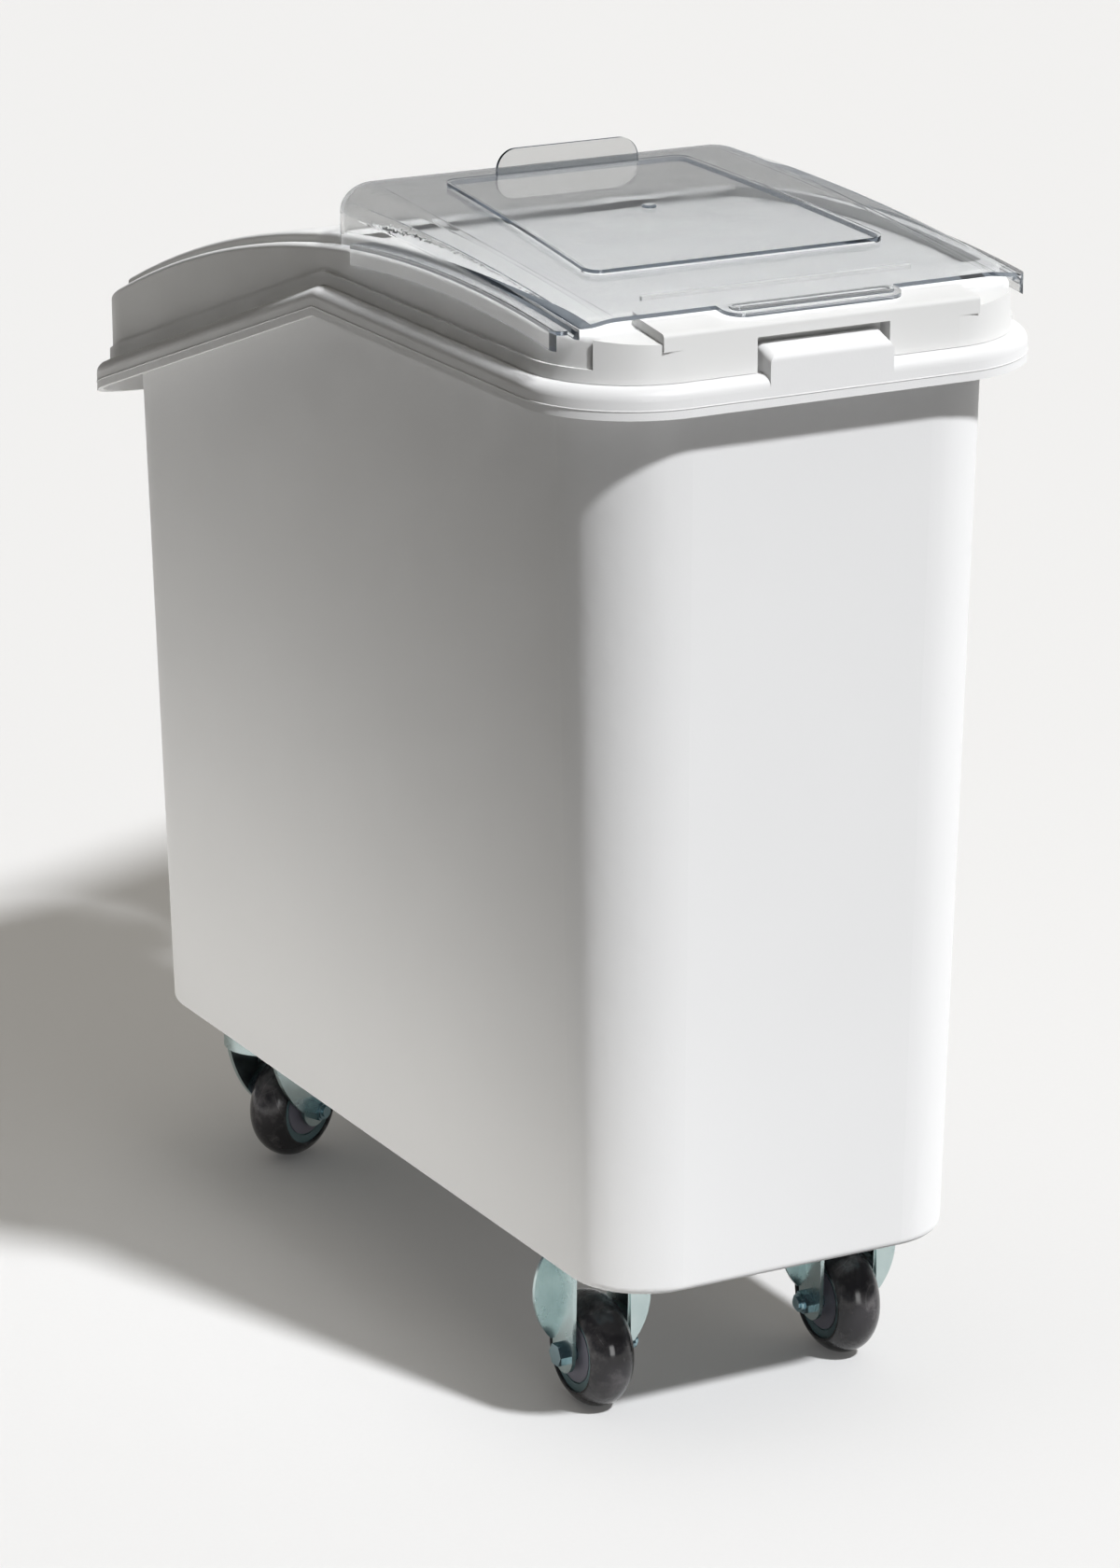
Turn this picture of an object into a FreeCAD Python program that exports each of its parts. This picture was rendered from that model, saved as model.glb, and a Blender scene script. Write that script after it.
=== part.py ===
import FreeCAD, Part
import math
import os
import Sketcher
from FreeCAD import Placement, Rotation, Vector

# Ingredient bin on casters, with a slant-top frame and a clear sliding cover.
# Own frame: origin on the floor under the middle of the rim, +Z up, millimetres.
# The high front end, with the boss and the cover's lip, faces -Y; +X is to its right.

doc = FreeCAD.newDocument("IngredientBin")
sheet = doc.addObject("Spreadsheet::Sheet", "Sizes")

size_table = [
    ("RimLength", 728.0, "tub rim, front to back"),
    ("RimWidth", 330.0, "tub rim, side to side"),
    ("RimCorner", 73.0, "rim corner radius in plan"),
    ("RimDepth", 18.0, "rim skirt, top face to lower edge"),
    ("RimWall", 4.0, "rim shelf and skirt thickness"),
    ("RimRound", 7.0, "rounding of the rim's top edge"),
    ("RimFrontTop", 670.0, "rim top above the floor, level front half"),
    ("RimBackTop", 535.5, "rim top above the floor at the back end"),
    ("RimLevelLength", 341.0, "level part of the rim, from the front end"),
    ("RimBendRadius", 25.0, "bend from level to sloping rim"),
    ("TubBottom", 104.0, "underside of the tub above the floor"),
    ("EndDraft", 15.5, "lean of the end walls, from the rim to the underside"),
    ("SideDraft", 12.0, "lean of the side walls, from the rim to the underside"),
    ("TubBottomCorner", 50.0, "tub corner radius at the underside"),
    ("RimOverhangEnd", 19.0, "rim beyond the tub's end walls"),
    ("RimOverhangSide", 26.5, "rim beyond the tub's side walls"),
    ("TubTopCorner", 58.0, "tub corner radius at the rim"),
    ("TubWall", 4.0, "tub wall"),
    ("TubFloor", 4.0, "tub floor"),
    ("TubBottomRound", 5.0, "rounding between wall and underside"),
    ("BossWidth", 82.0, "boss on the front rim"),
    ("BossDepth", 20.0, "boss, front to back"),
    ("BossFrontRise", 11.0, "boss front edge above the rim"),
    ("BossBackRise", 18.0, "boss back edge above the rim"),
    ("BossRound", 4.0, "rounding of the boss edges"),
    ("LedgeRadius", 1200.0, "arc that the cover slides along"),
    ("LedgeRise", 35.0, "top of the ledge arc above the rim"),
    ("LedgeApexInset", 180.0, "top of the arc behind the rim's front end"),
    ("LedgeThickness", 4.0, "ledge plate"),
    ("FrameWall", 3.0, "lid frame skirt wall"),
    ("SkirtInsetSide", 10.0, "frame skirt inside the rim's sides"),
    ("SkirtInsetEnd", 12.0, "frame skirt inside the rim's ends"),
    ("SkirtCorner", 64.0, "frame skirt corner radius"),
    ("SkirtRound", 3.0, "rounding of the ledge's outer edge"),
    ("BandHeight", 8.5, "proud band along the frame's foot"),
    ("BandProud", 2.0, "band in front of the skirt"),
    ("ApronDepth", 21.0, "front apron, front to back"),
    ("CurbRise", 6.0, "curb and hood above the ledge"),
    ("CurbWidth", 8.0, "curb beside the hatch"),
    ("CurbFrontWidth", 16.0, "curb in front of the hatch"),
    ("CurbCorner", 12.0, "curb corner radius"),
    ("CurbRound", 2.5, "rounding of the curb's top edge"),
    ("LedgeSide", 9.0, "ledge beside the curb, which the cover's edge rides on"),
    ("HatchLength", 290.0, "hatch opening, front to back"),
    ("HatchFrontInset", 52.0, "hatch behind the frame's front face"),
    ("RoofThickness", 3.0, "roof of the closed hood"),
    ("HoodBackInset", 51.0, "hood's end before the frame's back face"),
    ("NoseWidth", 210.0, "raised middle of the front apron"),
    ("NoseRound", 3.0, "rounding of the raised middle's front edge"),
    ("SlotGap", 3.0, "slot beside and above the boss"),
    ("SlotBackGap", 1.0, "slot behind the boss"),
    ("SlotDepth", 40.0, "slot's cut below the rim top"),
    ("BossRoot", 2.0, "foot of the boss below the rim's rounding"),
    ("CutMargin", 10.0, "cutting shapes reach past their piece by this much"),
    ("TrackThickness", 3.0, "tracks under the inner panel"),
    ("TrackReach", 10.0, "tracks inside the hatch edge"),
    ("SeatGap", 0.3, "frame foot above the rim"),
    ("SeatThickness", 3.0, "seat ring on the rim"),
    ("LocatorDepth", 12.0, "locating wall below the rim top"),
    ("LocatorGap", 1.0, "locating wall inside the tub wall"),
    ("CoverWall", 2.5, "clear cover wall"),
    ("CoverGap", 0.6, "cover above the ledge and the roof"),
    ("CoverSideGap", 1.2, "cover beside the curb"),
    ("CoverFrontInset", 22.0, "cover front edge behind the frame's face"),
    ("CoverOverlap", 6.0, "cover's rear wall past the hatch"),
    ("CoverFrontRise", 36.8, "cover top at its front edge, above the rim"),
    ("CoverRearRise", 58.8, "cover top at its rear, above the rim"),
    ("CoverTopRadius", 4700.0, "arc of the cover's top, front to back"),
    ("CoverRearCorner", 34.0, "rear corner radius in plan"),
    ("CoverFrontCorner", 4.0, "front corner radius in plan"),
    ("FoldRadius", 1950.0, "arc of the cover's side folds"),
    ("FoldRise", 50.5, "top of the fold arc above the rim"),
    ("FoldApexInset", 289.0, "top of the fold arc behind the rim's front"),
    ("ShoulderWidth", 23.0, "sloping shoulder beside the cover's top"),
    ("ShoulderRound", 45.0, "rounding from the cover's top to its shoulders"),
    ("FoldRound", 8.0, "rounding from the top to the side and rear walls"),
    ("PanelFrontWidth", 202.0, "raised panel at its front edge"),
    ("PanelRearWidth", 168.0, "raised panel at its rear edge"),
    ("PanelFrontInset", 74.0, "raised panel behind the cover's front edge"),
    ("PanelRearInset", 34.0, "raised panel before the cover's rear wall"),
    ("PanelRise", 3.0, "raised panel above the cover's top"),
    ("PanelCorner", 10.0, "raised panel corner radius"),
    ("GateRadius", 4.5, "round gate mark on the raised panel"),
    ("GateRise", 1.5, "gate mark above the panel"),
    ("GateInset", 142.0, "gate mark before the cover's rear wall"),
    ("TabWidth", 98.0, "upright pull tab"),
    ("TabRise", 16.0, "pull tab above the raised panel"),
    ("TabInset", 39.0, "pull tab before the cover's rear wall"),
    ("TabCorner", 13.0, "pull tab corner radius"),
    ("LipWidth", 118.0, "front lip"),
    ("LipReach", 18.0, "front lip in front of the cover"),
    ("LipDrop", 2.2, "fall of the front lip"),
    ("LipCorner", 12.0, "front lip corner radius"),
    ("LipRibInset", 5.0, "rib inside the front lip's outline"),
    ("LipRibWidth", 2.0, "rib on the front lip"),
    ("LipRibRise", 1.4, "rib above the front lip"),
    ("FlangeReach", 8.5, "side flange outside the cover's side walls"),
    ("FlangeFrontInset", 10.0, "flange behind the cover's front edge"),
    ("FlangeRearInset", 51.0, "flange before the cover's rear wall"),
    ("FlangeCorner", 7.0, "flange corner radius in plan"),
    ("SkirtLipDepth", 9.0, "flange lip below the ledge"),
    ("InnerPanelThickness", 2.7, "white inner panel"),
    ("InnerPanelGap", 0.3, "inner panel above its tracks"),
    ("InnerPanelSideGap", 0.6, "inner panel beside the curb"),
    ("InnerPanelFrontGap", 1.0, "inner panel behind the hatch's front edge"),
    ("InnerPanelOverlap", 7.0, "inner panel under the roof"),
    ("UpstandWidth", 180.0, "upstand that ties the panel to the cover"),
    ("UpstandThickness", 2.5, "upstand, front to back"),
    ("CasterSideInset", 38.5, "casters inside the sides of the tub's underside"),
    ("FrontCasterInset", 93.5, "rigid casters behind the front of the tub's underside"),
    ("RearCasterInset", 101.5, "swivel casters before the back of the tub's underside"),
    ("PlateLength", 84.0, "caster plate, front to back"),
    ("PlateWidth", 59.0, "caster plate, side to side"),
    ("PlateThickness", 2.5, "caster plate"),
    ("PlateCorner", 7.0, "caster plate corner radius"),
    ("BoltPitchLong", 64.0, "plate bolts, front to back"),
    ("BoltPitchWide", 44.0, "plate bolts, side to side"),
    ("BoltRadius", 4.0, "plate bolt shank"),
    ("BoltHoleGap", 0.25, "round the plate bolts"),
    ("BoltHeadRadius", 7.5, "round head under the caster plate"),
    ("BoltHeadHeight", 3.6, "round head under the caster plate"),
    ("BoltTail", 0.8, "bolt end past its nut"),
    ("WasherRadius", 8.0, "washer"),
    ("WasherThickness", 1.6, "washer"),
    ("NutAcrossFlats", 13.0, "hexagon nuts and heads"),
    ("NutHeight", 4.0, "thin plate nuts inside the tub"),
    ("ThreadGap", 0.05, "round the bolts inside their nuts"),
    ("WheelRadius", 36.5, "wheel"),
    ("TreadWidth", 30.0, "tread, side to side"),
    ("TreadCrown", 16.6, "round profile of the tread"),
    ("CoreRadius", 25.5, "wheel core"),
    ("CoreWidth", 26.0, "wheel core, side to side"),
    ("RecessRadius", 20.5, "recess in the core's faces"),
    ("RecessDepth", 1.5, "recess in the core's faces"),
    ("DustCoverRadius", 19.5, "centre disc"),
    ("DustCoverBore", 6.5, "centre disc bore"),
    ("BearingRadius", 11.0, "bearing ring"),
    ("SleeveRadius", 6.0, "axle sleeve"),
    ("RunningGap", 0.06, "bearing round its sleeve, crown round its pin"),
    ("AxleRadius", 4.0, "axle bolt"),
    ("AxleHoleGap", 0.1, "round the axle bolt"),
    ("AxleHeadHeight", 5.3, "axle bolt head"),
    ("AxleNutHeight", 6.5, "axle nut, hexagon part"),
    ("AxleCollarHeight", 2.0, "axle nut, locking collar"),
    ("AxleCollarRadius", 5.8, "axle nut, locking collar"),
    ("AxleTail", 1.5, "axle bolt end past its nut"),
    ("LegSpacing", 36.0, "between the fork legs"),
    ("LegThickness", 2.5, "fork legs"),
    ("LegTopWidth", 30.0, "fork leg under the plate"),
    ("LegEndWidth", 25.0, "fork leg at the axle"),
    ("LegEarRadius", 46.0, "rounded outline of the rigid legs' bent ears"),
    ("LegEarDepth", 62.0, "bent ears of the rigid legs, down from the plate"),
    ("LegEarFoot", 1.2, "bent ears' ends outside the rigid legs"),
    ("SwivelTrail", 28.0, "axle behind the swivel axis"),
    ("CrownRadius", 28.0, "swivel crown"),
    ("CrownDepth", 13.0, "crown's top face below the tub"),
    ("CrownWallHeight", 7.0, "crown's upturned wall"),
    ("SwivelLegTopWidth", 34.0, "swivel leg under the crown"),
    ("SwivelLegRadius", 90.0, "bowed front edge of the swivel legs"),
    ("BallRadius", 3.0, "balls between crown and plate"),
    ("BallCircle", 19.0, "radius of the ring of balls"),
    ("BallGap", 0.1, "balls above the crown and below the race"),
    ("RaceWidth", 7.0, "race ring under the plate"),
    ("DishRadius", 13.5, "dished middle of the swivel plate"),
    ("DishDepth", 5.5, "dished middle of the swivel plate"),
    ("DishDraft", 3.0, "slope of the dish wall"),
    ("PinRadius", 4.0, "king pin"),
    ("PinHeadRadius", 8.0, "king pin heads"),
    ("PinHeadHeight", 3.0, "king pin heads"),
    ("PinHeadGap", 0.3, "lower head below the crown"),
    ("LeftSwivelTurn", -65.0, "left rear caster's rest turn, degrees"),
    ("RightSwivelTurn", -48.0, "right rear caster's rest turn, degrees"),
]
ball_count = 12


# Lengths that carry their own formula, so every value is written once.
class Size:
    def __init__(self, value, formula):
        self.value = value
        self.formula = formula

    def __add__(self, other):
        other = as_size(other)
        return Size(self.value + other.value, "(" + self.formula + " + " + other.formula + ")")

    def __sub__(self, other):
        other = as_size(other)
        return Size(self.value - other.value, "(" + self.formula + " - " + other.formula + ")")

    def __mul__(self, other):
        other = as_size(other)
        return Size(self.value * other.value, "(" + self.formula + " * " + other.formula + ")")

    def __truediv__(self, other):
        other = as_size(other)
        return Size(self.value / other.value, "(" + self.formula + " / " + other.formula + ")")

    def __neg__(self):
        return Size(-self.value, "(0 - " + self.formula + ")")


def as_size(number):
    if isinstance(number, Size):
        return number
    return Size(float(number), "(" + repr(float(number)) + ")")


def root(number):
    return Size(math.sqrt(number.value), "sqrt(" + number.formula + ")")


class SizeSet:
    pass


size = SizeSet()
for row, (alias, value, meaning) in enumerate(size_table, start=1):
    sheet.set("A" + str(row), meaning)
    sheet.set("B" + str(row), str(value))
    sheet.setAlias("B" + str(row), alias)
    setattr(size, alias, Size(value, "Sizes." + alias))
doc.recompute()


# Sketches: a closed line is a list of corners (u, v, bend). The bend is None for a straight
# edge to the next corner, or (radius, turn), with turn +1 for a centre on the left.
def bind(thing, name, length):
    thing.setExpression(name, as_size(length).formula)


def new_body(name):
    return doc.addObject("PartDesign::Body", name)


def new_sketch(body, plane, name, offset=None):
    sketch = body.newObject("Sketcher::SketchObject", name)
    for feature in body.Origin.OriginFeatures:
        if feature.Role == plane:
            sketch.AttachmentSupport = [(feature, "")]
    sketch.MapMode = "FlatFace"
    if offset is not None:
        offset = as_size(offset)
        sketch.AttachmentOffset = Placement(Vector(0, 0, offset.value), Rotation())
        bind(sketch, "AttachmentOffset.Base.z", offset)
    return sketch


def draw_line(sketch, corners):
    first = sketch.GeometryCount
    count = len(corners)
    points = [Vector(as_size(c[0]).value, as_size(c[1]).value, 0) for c in corners]
    ends = []
    for i in range(count):
        a = points[i]
        b = points[(i + 1) % count]
        bend = corners[i][2]
        if bend is None:
            sketch.addGeometry(Part.LineSegment(a, b), False)
            ends.append((1, 2))
        else:
            radius, turn = bend
            chord = b - a
            half = chord.Length / 2
            left = Vector(-chord.y, chord.x, 0).normalize()
            sagitta = radius.value - math.sqrt(max(radius.value ** 2 - half ** 2, 0.0))
            middle = (a + b) * 0.5 - left * (sagitta * turn)
            if turn > 0:
                sketch.addGeometry(Part.Arc(a, middle, b), False)
                ends.append((1, 2))
            else:
                sketch.addGeometry(Part.Arc(b, middle, a), False)
                ends.append((2, 1))
    for i in range(count):
        following = (i + 1) % count
        sketch.addConstraint(Sketcher.Constraint(
            "Coincident", first + i, ends[i][1], first + following, ends[following][0]))
    for i in range(count):
        for axis, which in (("DistanceX", 0), ("DistanceY", 1)):
            place = as_size(corners[i][which])
            number = sketch.addConstraint(Sketcher.Constraint(
                axis, -1, 1, first + i, ends[i][0], place.value))
            bind(sketch, "Constraints[" + str(number) + "]", place)
        if corners[i][2] is not None:
            radius = corners[i][2][0]
            number = sketch.addConstraint(Sketcher.Constraint("Radius", first + i, radius.value))
            bind(sketch, "Constraints[" + str(number) + "]", radius)


def draw_circle(sketch, u, v, radius):
    u = as_size(u)
    v = as_size(v)
    first = sketch.GeometryCount
    sketch.addGeometry(Part.Circle(Vector(u.value, v.value, 0), Vector(0, 0, 1), radius.value), False)
    for axis, place in (("DistanceX", u), ("DistanceY", v)):
        number = sketch.addConstraint(Sketcher.Constraint(axis, -1, 1, first, 3, place.value))
        bind(sketch, "Constraints[" + str(number) + "]", place)
    number = sketch.addConstraint(Sketcher.Constraint("Radius", first, radius.value))
    bind(sketch, "Constraints[" + str(number) + "]", radius)


def rectangle(u0, v0, u1, v1):
    return [(u0, v0, None), (u1, v0, None), (u1, v1, None), (u0, v1, None)]


def rounded_plan(half, front, back, front_corner, back_corner=None):
    f = as_size(front_corner)
    b = as_size(front_corner if back_corner is None else back_corner)
    return [
        (half, front + f, None), (half, back - b, (b, 1)),
        (half - b, back, None), (b - half, back, (b, 1)),
        (-half, back - b, None), (-half, front + f, (f, 1)),
        (f - half, front, None), (half - f, front, (f, 1)),
    ]


def hexagon(u, v, across_flats):
    reach = across_flats / root(as_size(3.0))
    flat = across_flats / 2
    return [
        (u + reach, v, None), (u + reach / 2, v + flat, None), (u - reach / 2, v + flat, None),
        (u - reach, v, None), (u - reach / 2, v - flat, None), (u + reach / 2, v - flat, None),
    ]


# Features of a body
def pad(body, sketch, length, symmetric=False, reverse=False):
    feature = body.newObject("PartDesign::Pad", "Pad")
    feature.Profile = sketch
    feature.SideType = "Symmetric" if symmetric else "One side"
    feature.Reversed = reverse
    bind(feature, "Length", length)
    return feature


def cut_through(body, sketch):
    feature = body.newObject("PartDesign::Pocket", "Pocket")
    feature.Profile = sketch
    feature.SideType = "Symmetric"
    feature.Type = "ThroughAll"
    return feature


def cut_width(body, sketch, length):
    feature = body.newObject("PartDesign::Pocket", "Pocket")
    feature.Profile = sketch
    feature.SideType = "Symmetric"
    feature.Type = "Length"
    bind(feature, "Length", length)
    return feature


def turned(body, sketch, axis):
    feature = body.newObject("PartDesign::Revolution", "Turned")
    feature.Profile = sketch
    feature.ReferenceAxis = (sketch, [axis])
    feature.Angle = 360
    return feature


def round_edges(body, radius, chosen):
    doc.recompute()
    base = body.Tip
    names = []
    for number, edge in enumerate(base.Shape.Edges, start=1):
        first, last = edge.ParameterRange
        middle = edge.valueAt((first + last) / 2)
        ends = [vertex.Point for vertex in edge.Vertexes]
        if chosen(middle, ends):
            names.append("Edge" + str(number))
    feature = body.newObject("PartDesign::Fillet", "Fillet")
    feature.Base = (base, names)
    bind(feature, "Radius", radius)
    return feature


def side_block(name, side, half_width, plan):
    body = new_body(name)
    profile = new_sketch(body, "YZ_Plane", name + "Side")
    draw_line(profile, side)
    pad(body, profile, half_width * 2, symmetric=True)
    if plan is not None:
        trim = new_sketch(body, "XY_Plane", name + "Plan")
        far = size.RimLength
        draw_line(trim, rectangle(-far, -far, far, far))
        draw_line(trim, plan)
        cut_through(body, trim)
    return body


def joined(name, pieces):
    result = doc.addObject("Part::MultiFuse", name)
    result.Shapes = pieces
    return result


def cut_from(name, base, tool):
    result = doc.addObject("Part::Cut", name)
    result.Base = base
    result.Tool = tool
    return result


nodes = {}


def keep(node, thing):
    thing.Label = node
    nodes[node] = thing


# Places shared by several pieces
rim_front = -(size.RimLength / 2)
rim_back = size.RimLength / 2
rim_half = size.RimWidth / 2
bend_y = rim_front + size.RimLevelLength
slope = (size.RimFrontTop - size.RimBackTop) / (rim_back - bend_y)
slant = root(slope * slope + 1)
bend_reach = size.RimBendRadius * (slant - 1) / slope
tub_top_half = rim_half - size.RimOverhangSide
tub_top_end = rim_back - size.RimOverhangEnd
tub_foot_half = tub_top_half - size.SideDraft
tub_foot_end = tub_top_end - size.EndDraft
above = size.RimFrontTop + size.RimWidth
frame_half = rim_half - size.SkirtInsetSide
frame_front = rim_front + size.SkirtInsetEnd
frame_back = rim_back - size.SkirtInsetEnd
face_front = frame_front - size.BandProud
apex_y = rim_front + size.LedgeApexInset
arc_z = size.RimFrontTop + size.LedgeRise - size.LedgeRadius
curb_half = frame_half - size.LedgeSide
hatch_half = curb_half - size.CurbWidth
hatch_front = face_front + size.HatchFrontInset
hatch_back = hatch_front + size.HatchLength
curb_front = hatch_front - size.CurbFrontWidth
hood_back = frame_back + size.BandProud - size.HoodBackInset
curb_radius = size.LedgeRadius + size.CurbRise
under_ledge = size.LedgeRadius - size.LedgeThickness


def rim_line(offset, front, back):
    level = size.RimFrontTop + offset
    return [
        (front, level, None),
        (bend_y - bend_reach, level, (size.RimBendRadius, -1)),
        (bend_y + bend_reach / slant, level - bend_reach * slope / slant, None),
        (back, level - slope * (back - bend_y), None),
    ]


def arc_height(radius, y):
    return arc_z + root(radius * radius - (y - apex_y) * (y - apex_y))


def back_along(radius, back, front):
    return [(back, arc_height(radius, back), (radius, 1)), (front, arc_height(radius, front), None)]


def arc_band(inner, outer, front, back):
    line = [(front, arc_height(inner, front), (inner, -1)), (back, arc_height(inner, back), None)]
    return line + back_along(outer, back, front)


def below_arc(radius, bottom, front, back):
    return [(front, bottom, None), (back, bottom, None)] + back_along(radius, back, front)


# Tub: one moulding, tapering walls, an inverted-U rim level in front and sloping at the back.
def tub_block(name, inset, bottom, round_radius):
    # The rounded foot is lofted through slices of a quarter circle, the walls are ruled above it.
    body = new_body(name)

    def slice_at(level, step, half_width, half_length, corner):
        sketch = new_sketch(body, "XY_Plane", name + "Slice", level)
        draw_line(sketch, rounded_plan(half_width - inset - step, inset + step - half_length,
                                       half_length - inset - step, corner - inset - step))
        return sketch

    slices = []
    for angle in (0.0, 30.0, 60.0, 90.0):
        rise = round_radius * (1 - math.cos(math.radians(angle)))
        step = round_radius * (1 - math.sin(math.radians(angle)))
        slices.append(slice_at(bottom + rise, step, tub_foot_half, tub_foot_end,
                               size.TubBottomCorner))
    foot_loft = body.newObject("PartDesign::AdditiveLoft", "Foot")
    foot_loft.Profile = slices[0]
    foot_loft.Sections = slices[1:]
    high = slice_at(size.RimFrontTop + inset, as_size(0.0), tub_top_half, tub_top_end,
                    size.TubTopCorner)
    walls = body.newObject("PartDesign::AdditiveLoft", "Walls")
    walls.Profile = slices[-1]
    walls.Sections = [high]
    walls.Ruled = True
    return body


tub_outer = tub_block("TubOuter", as_size(0.0), size.TubBottom, size.TubBottomRound)
trim = new_sketch(tub_outer, "YZ_Plane", "TubTrim")
trim_front = rim_front - size.CutMargin
trim_back = rim_back + size.CutMargin
draw_line(trim, rim_line(-(size.RimWall / 2), trim_front, trim_back)
          + [(trim_back, above, None), (trim_front, above, None)])
cut_through(tub_outer, trim)
tub_inner = tub_block("TubInner", size.TubWall, size.TubBottom + size.TubFloor,
                      size.TubBottomRound - size.TubWall)

rim_foot = rim_line(-size.RimDepth, rim_front, rim_back)


def return_line(line):
    # The same line walked back, with each bend handed on to the edge it belongs to.
    back = []
    for i in range(len(line) - 1, -1, -1):
        bend = line[i - 1][2] if i > 0 else None
        back.append((line[i][0], line[i][1], None if bend is None else (bend[0], -bend[1])))
    return back


rim_block = side_block(
    "RimBlock", rim_foot + return_line(rim_line(as_size(0.0), rim_front, rim_back)),
    rim_half, rounded_plan(rim_half, rim_front, rim_back, size.RimCorner))


def on_rim_top(point, offset):
    y = point.y
    level = size.RimFrontTop.value + offset
    if y > bend_y.value:
        level = level - slope.value * (y - bend_y.value)
    return abs(point.z - level) < 0.35


round_edges(rim_block, size.RimRound,
            lambda m, e: all(on_rim_top(p, 0.0) for p in e + [m]) and abs(m.x) > 1)
channel_front = rim_front + size.RimWall
channel_back = rim_back - size.RimWall
channel = side_block(
    "RimChannel",
    rim_line(-(size.RimDepth * 2), channel_front, channel_back)
    + return_line(rim_line(-size.RimWall, channel_front, channel_back)),
    rim_half - size.RimWall,
    rounded_plan(rim_half - size.RimWall, channel_front, channel_back, size.RimCorner - size.RimWall))
rim_shell = cut_from("RimShell", rim_block, channel)

boss_back = rim_front + size.BossDepth
boss_foot = size.RimFrontTop - size.RimRound - size.BossRoot
boss = side_block("Boss", [
    (rim_front, boss_foot, None),
    (channel_front, boss_foot, None),
    (channel_front, size.RimFrontTop - size.RimWall, None),
    (boss_back, size.RimFrontTop - size.RimWall, None),
    (boss_back, size.RimFrontTop + size.BossBackRise, None),
    (rim_front, size.RimFrontTop + size.BossFrontRise, None),
], size.BossWidth / 2, None)
round_edges(boss, size.BossRound, lambda m, e: m.z > size.RimFrontTop.value + 5)

caster_half = tub_foot_half - size.CasterSideInset
front_caster_y = size.FrontCasterInset - tub_foot_end
rear_caster_y = tub_foot_end - size.RearCasterInset
bolt_places = []
for centre_x in (-caster_half, caster_half):
    for centre_y in (front_caster_y, rear_caster_y):
        for side_x in (-1, 1):
            for side_y in (-1, 1):
                bolt_places.append((centre_x + size.BoltPitchWide / 2 * side_x,
                                    centre_y + size.BoltPitchLong / 2 * side_y))
bolt_holes = new_body("BoltHoles")
hole_sketch = new_sketch(bolt_holes, "XY_Plane", "BoltHolesPlan", size.TubBottom - size.CutMargin)
for u, v in bolt_places:
    draw_circle(hole_sketch, u, v, size.BoltRadius + size.BoltHoleGap)
pad(bolt_holes, hole_sketch, size.TubFloor + size.CutMargin * 2)

tub_solid = joined("TubSolid", [tub_outer, rim_shell, boss])
tub_hollow = joined("TubHollow", [tub_inner, bolt_holes])
keep("tub", cut_from("Tub", tub_solid, tub_hollow))


# Lid frame: skirt, proud band, front apron, ledge, curb round the hatch and closed hood.
foot = rim_line(size.SeatGap, frame_front, frame_back)
skirt = side_block(
    "Skirt", foot + back_along(size.LedgeRadius, frame_back, frame_front), frame_half,
    rounded_plan(frame_half, frame_front, frame_back, size.SkirtCorner))


def arc_distance(point):
    return math.hypot(point.y - apex_y.value, point.z - arc_z.value)


round_edges(skirt, size.SkirtRound,
            lambda m, e: all(abs(arc_distance(p) - size.LedgeRadius.value) < 0.05 for p in e + [m]))
band_half = frame_half + size.BandProud
band_back = frame_back + size.BandProud
apron_back = face_front + size.ApronDepth
band_top = rim_line(size.BandHeight, apron_back, band_back)
band = side_block(
    "Band",
    rim_line(size.SeatGap, face_front, band_back) + return_line(band_top)
    + back_along(size.LedgeRadius, apron_back, face_front),
    band_half,
    rounded_plan(band_half, face_front, band_back, size.SkirtCorner + size.BandProud))
curb = side_block(
    "Curb", arc_band(under_ledge, curb_radius, curb_front, hood_back), curb_half,
    rounded_plan(curb_half, curb_front, hood_back, size.CurbCorner))
round_edges(curb, size.CurbRound,
            lambda m, e: all(abs(arc_distance(p) - curb_radius.value) < 0.05 for p in e + [m]))
nose_half = size.NoseWidth / 2
nose = side_block(
    "Nose", arc_band(under_ledge, curb_radius, face_front, curb_front + size.CurbWidth),
    nose_half, None)
round_edges(nose, size.NoseRound,
            lambda m, e: all(abs(arc_distance(p) - curb_radius.value) < 0.05 for p in e + [m])
            and m.y < face_front.value + 1)

seat = side_block(
    "Seat",
    foot + return_line(rim_line(size.SeatGap + size.SeatThickness, frame_front, frame_back)),
    frame_half - size.FrameWall / 2,
    rounded_plan(frame_half - size.FrameWall / 2, frame_front + size.FrameWall / 2,
                 frame_back - size.FrameWall / 2, size.SkirtCorner - size.FrameWall / 2))


def tub_taper(low, high, z):
    share = (z - size.TubBottom) / (size.RimFrontTop - size.TubBottom)
    return low + (high - low) * share


locator_level = size.RimBackTop - size.LocatorDepth
locator_half = (tub_taper(tub_foot_half, tub_top_half, locator_level)
                - size.TubWall - size.LocatorGap)
locator_end = (tub_taper(tub_foot_end, tub_top_end, locator_level)
               - size.TubWall - size.LocatorGap)
locator_corner = (tub_taper(size.TubBottomCorner, size.TubTopCorner, locator_level)
                  - size.TubWall - size.LocatorGap)
locator = side_block(
    "Locator",
    rim_line(-size.LocatorDepth, frame_front, frame_back)
    + return_line(rim_line(size.SeatGap + size.SeatThickness, frame_front, frame_back)),
    frame_half, rounded_plan(locator_half, -locator_end, locator_end, locator_corner))
locator_bore = side_block(
    "LocatorBore",
    rim_line(-(size.LocatorDepth * 2), frame_front, frame_back)
    + return_line(rim_line(size.SeatThickness * 3, frame_front, frame_back)),
    frame_half,
    rounded_plan(locator_half - size.FrameWall, size.FrameWall - locator_end,
                 locator_end - size.FrameWall, locator_corner - size.FrameWall))
seat_ring = cut_from("SeatRing", joined("SeatSolid", [seat, locator]), locator_bore)

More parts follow.
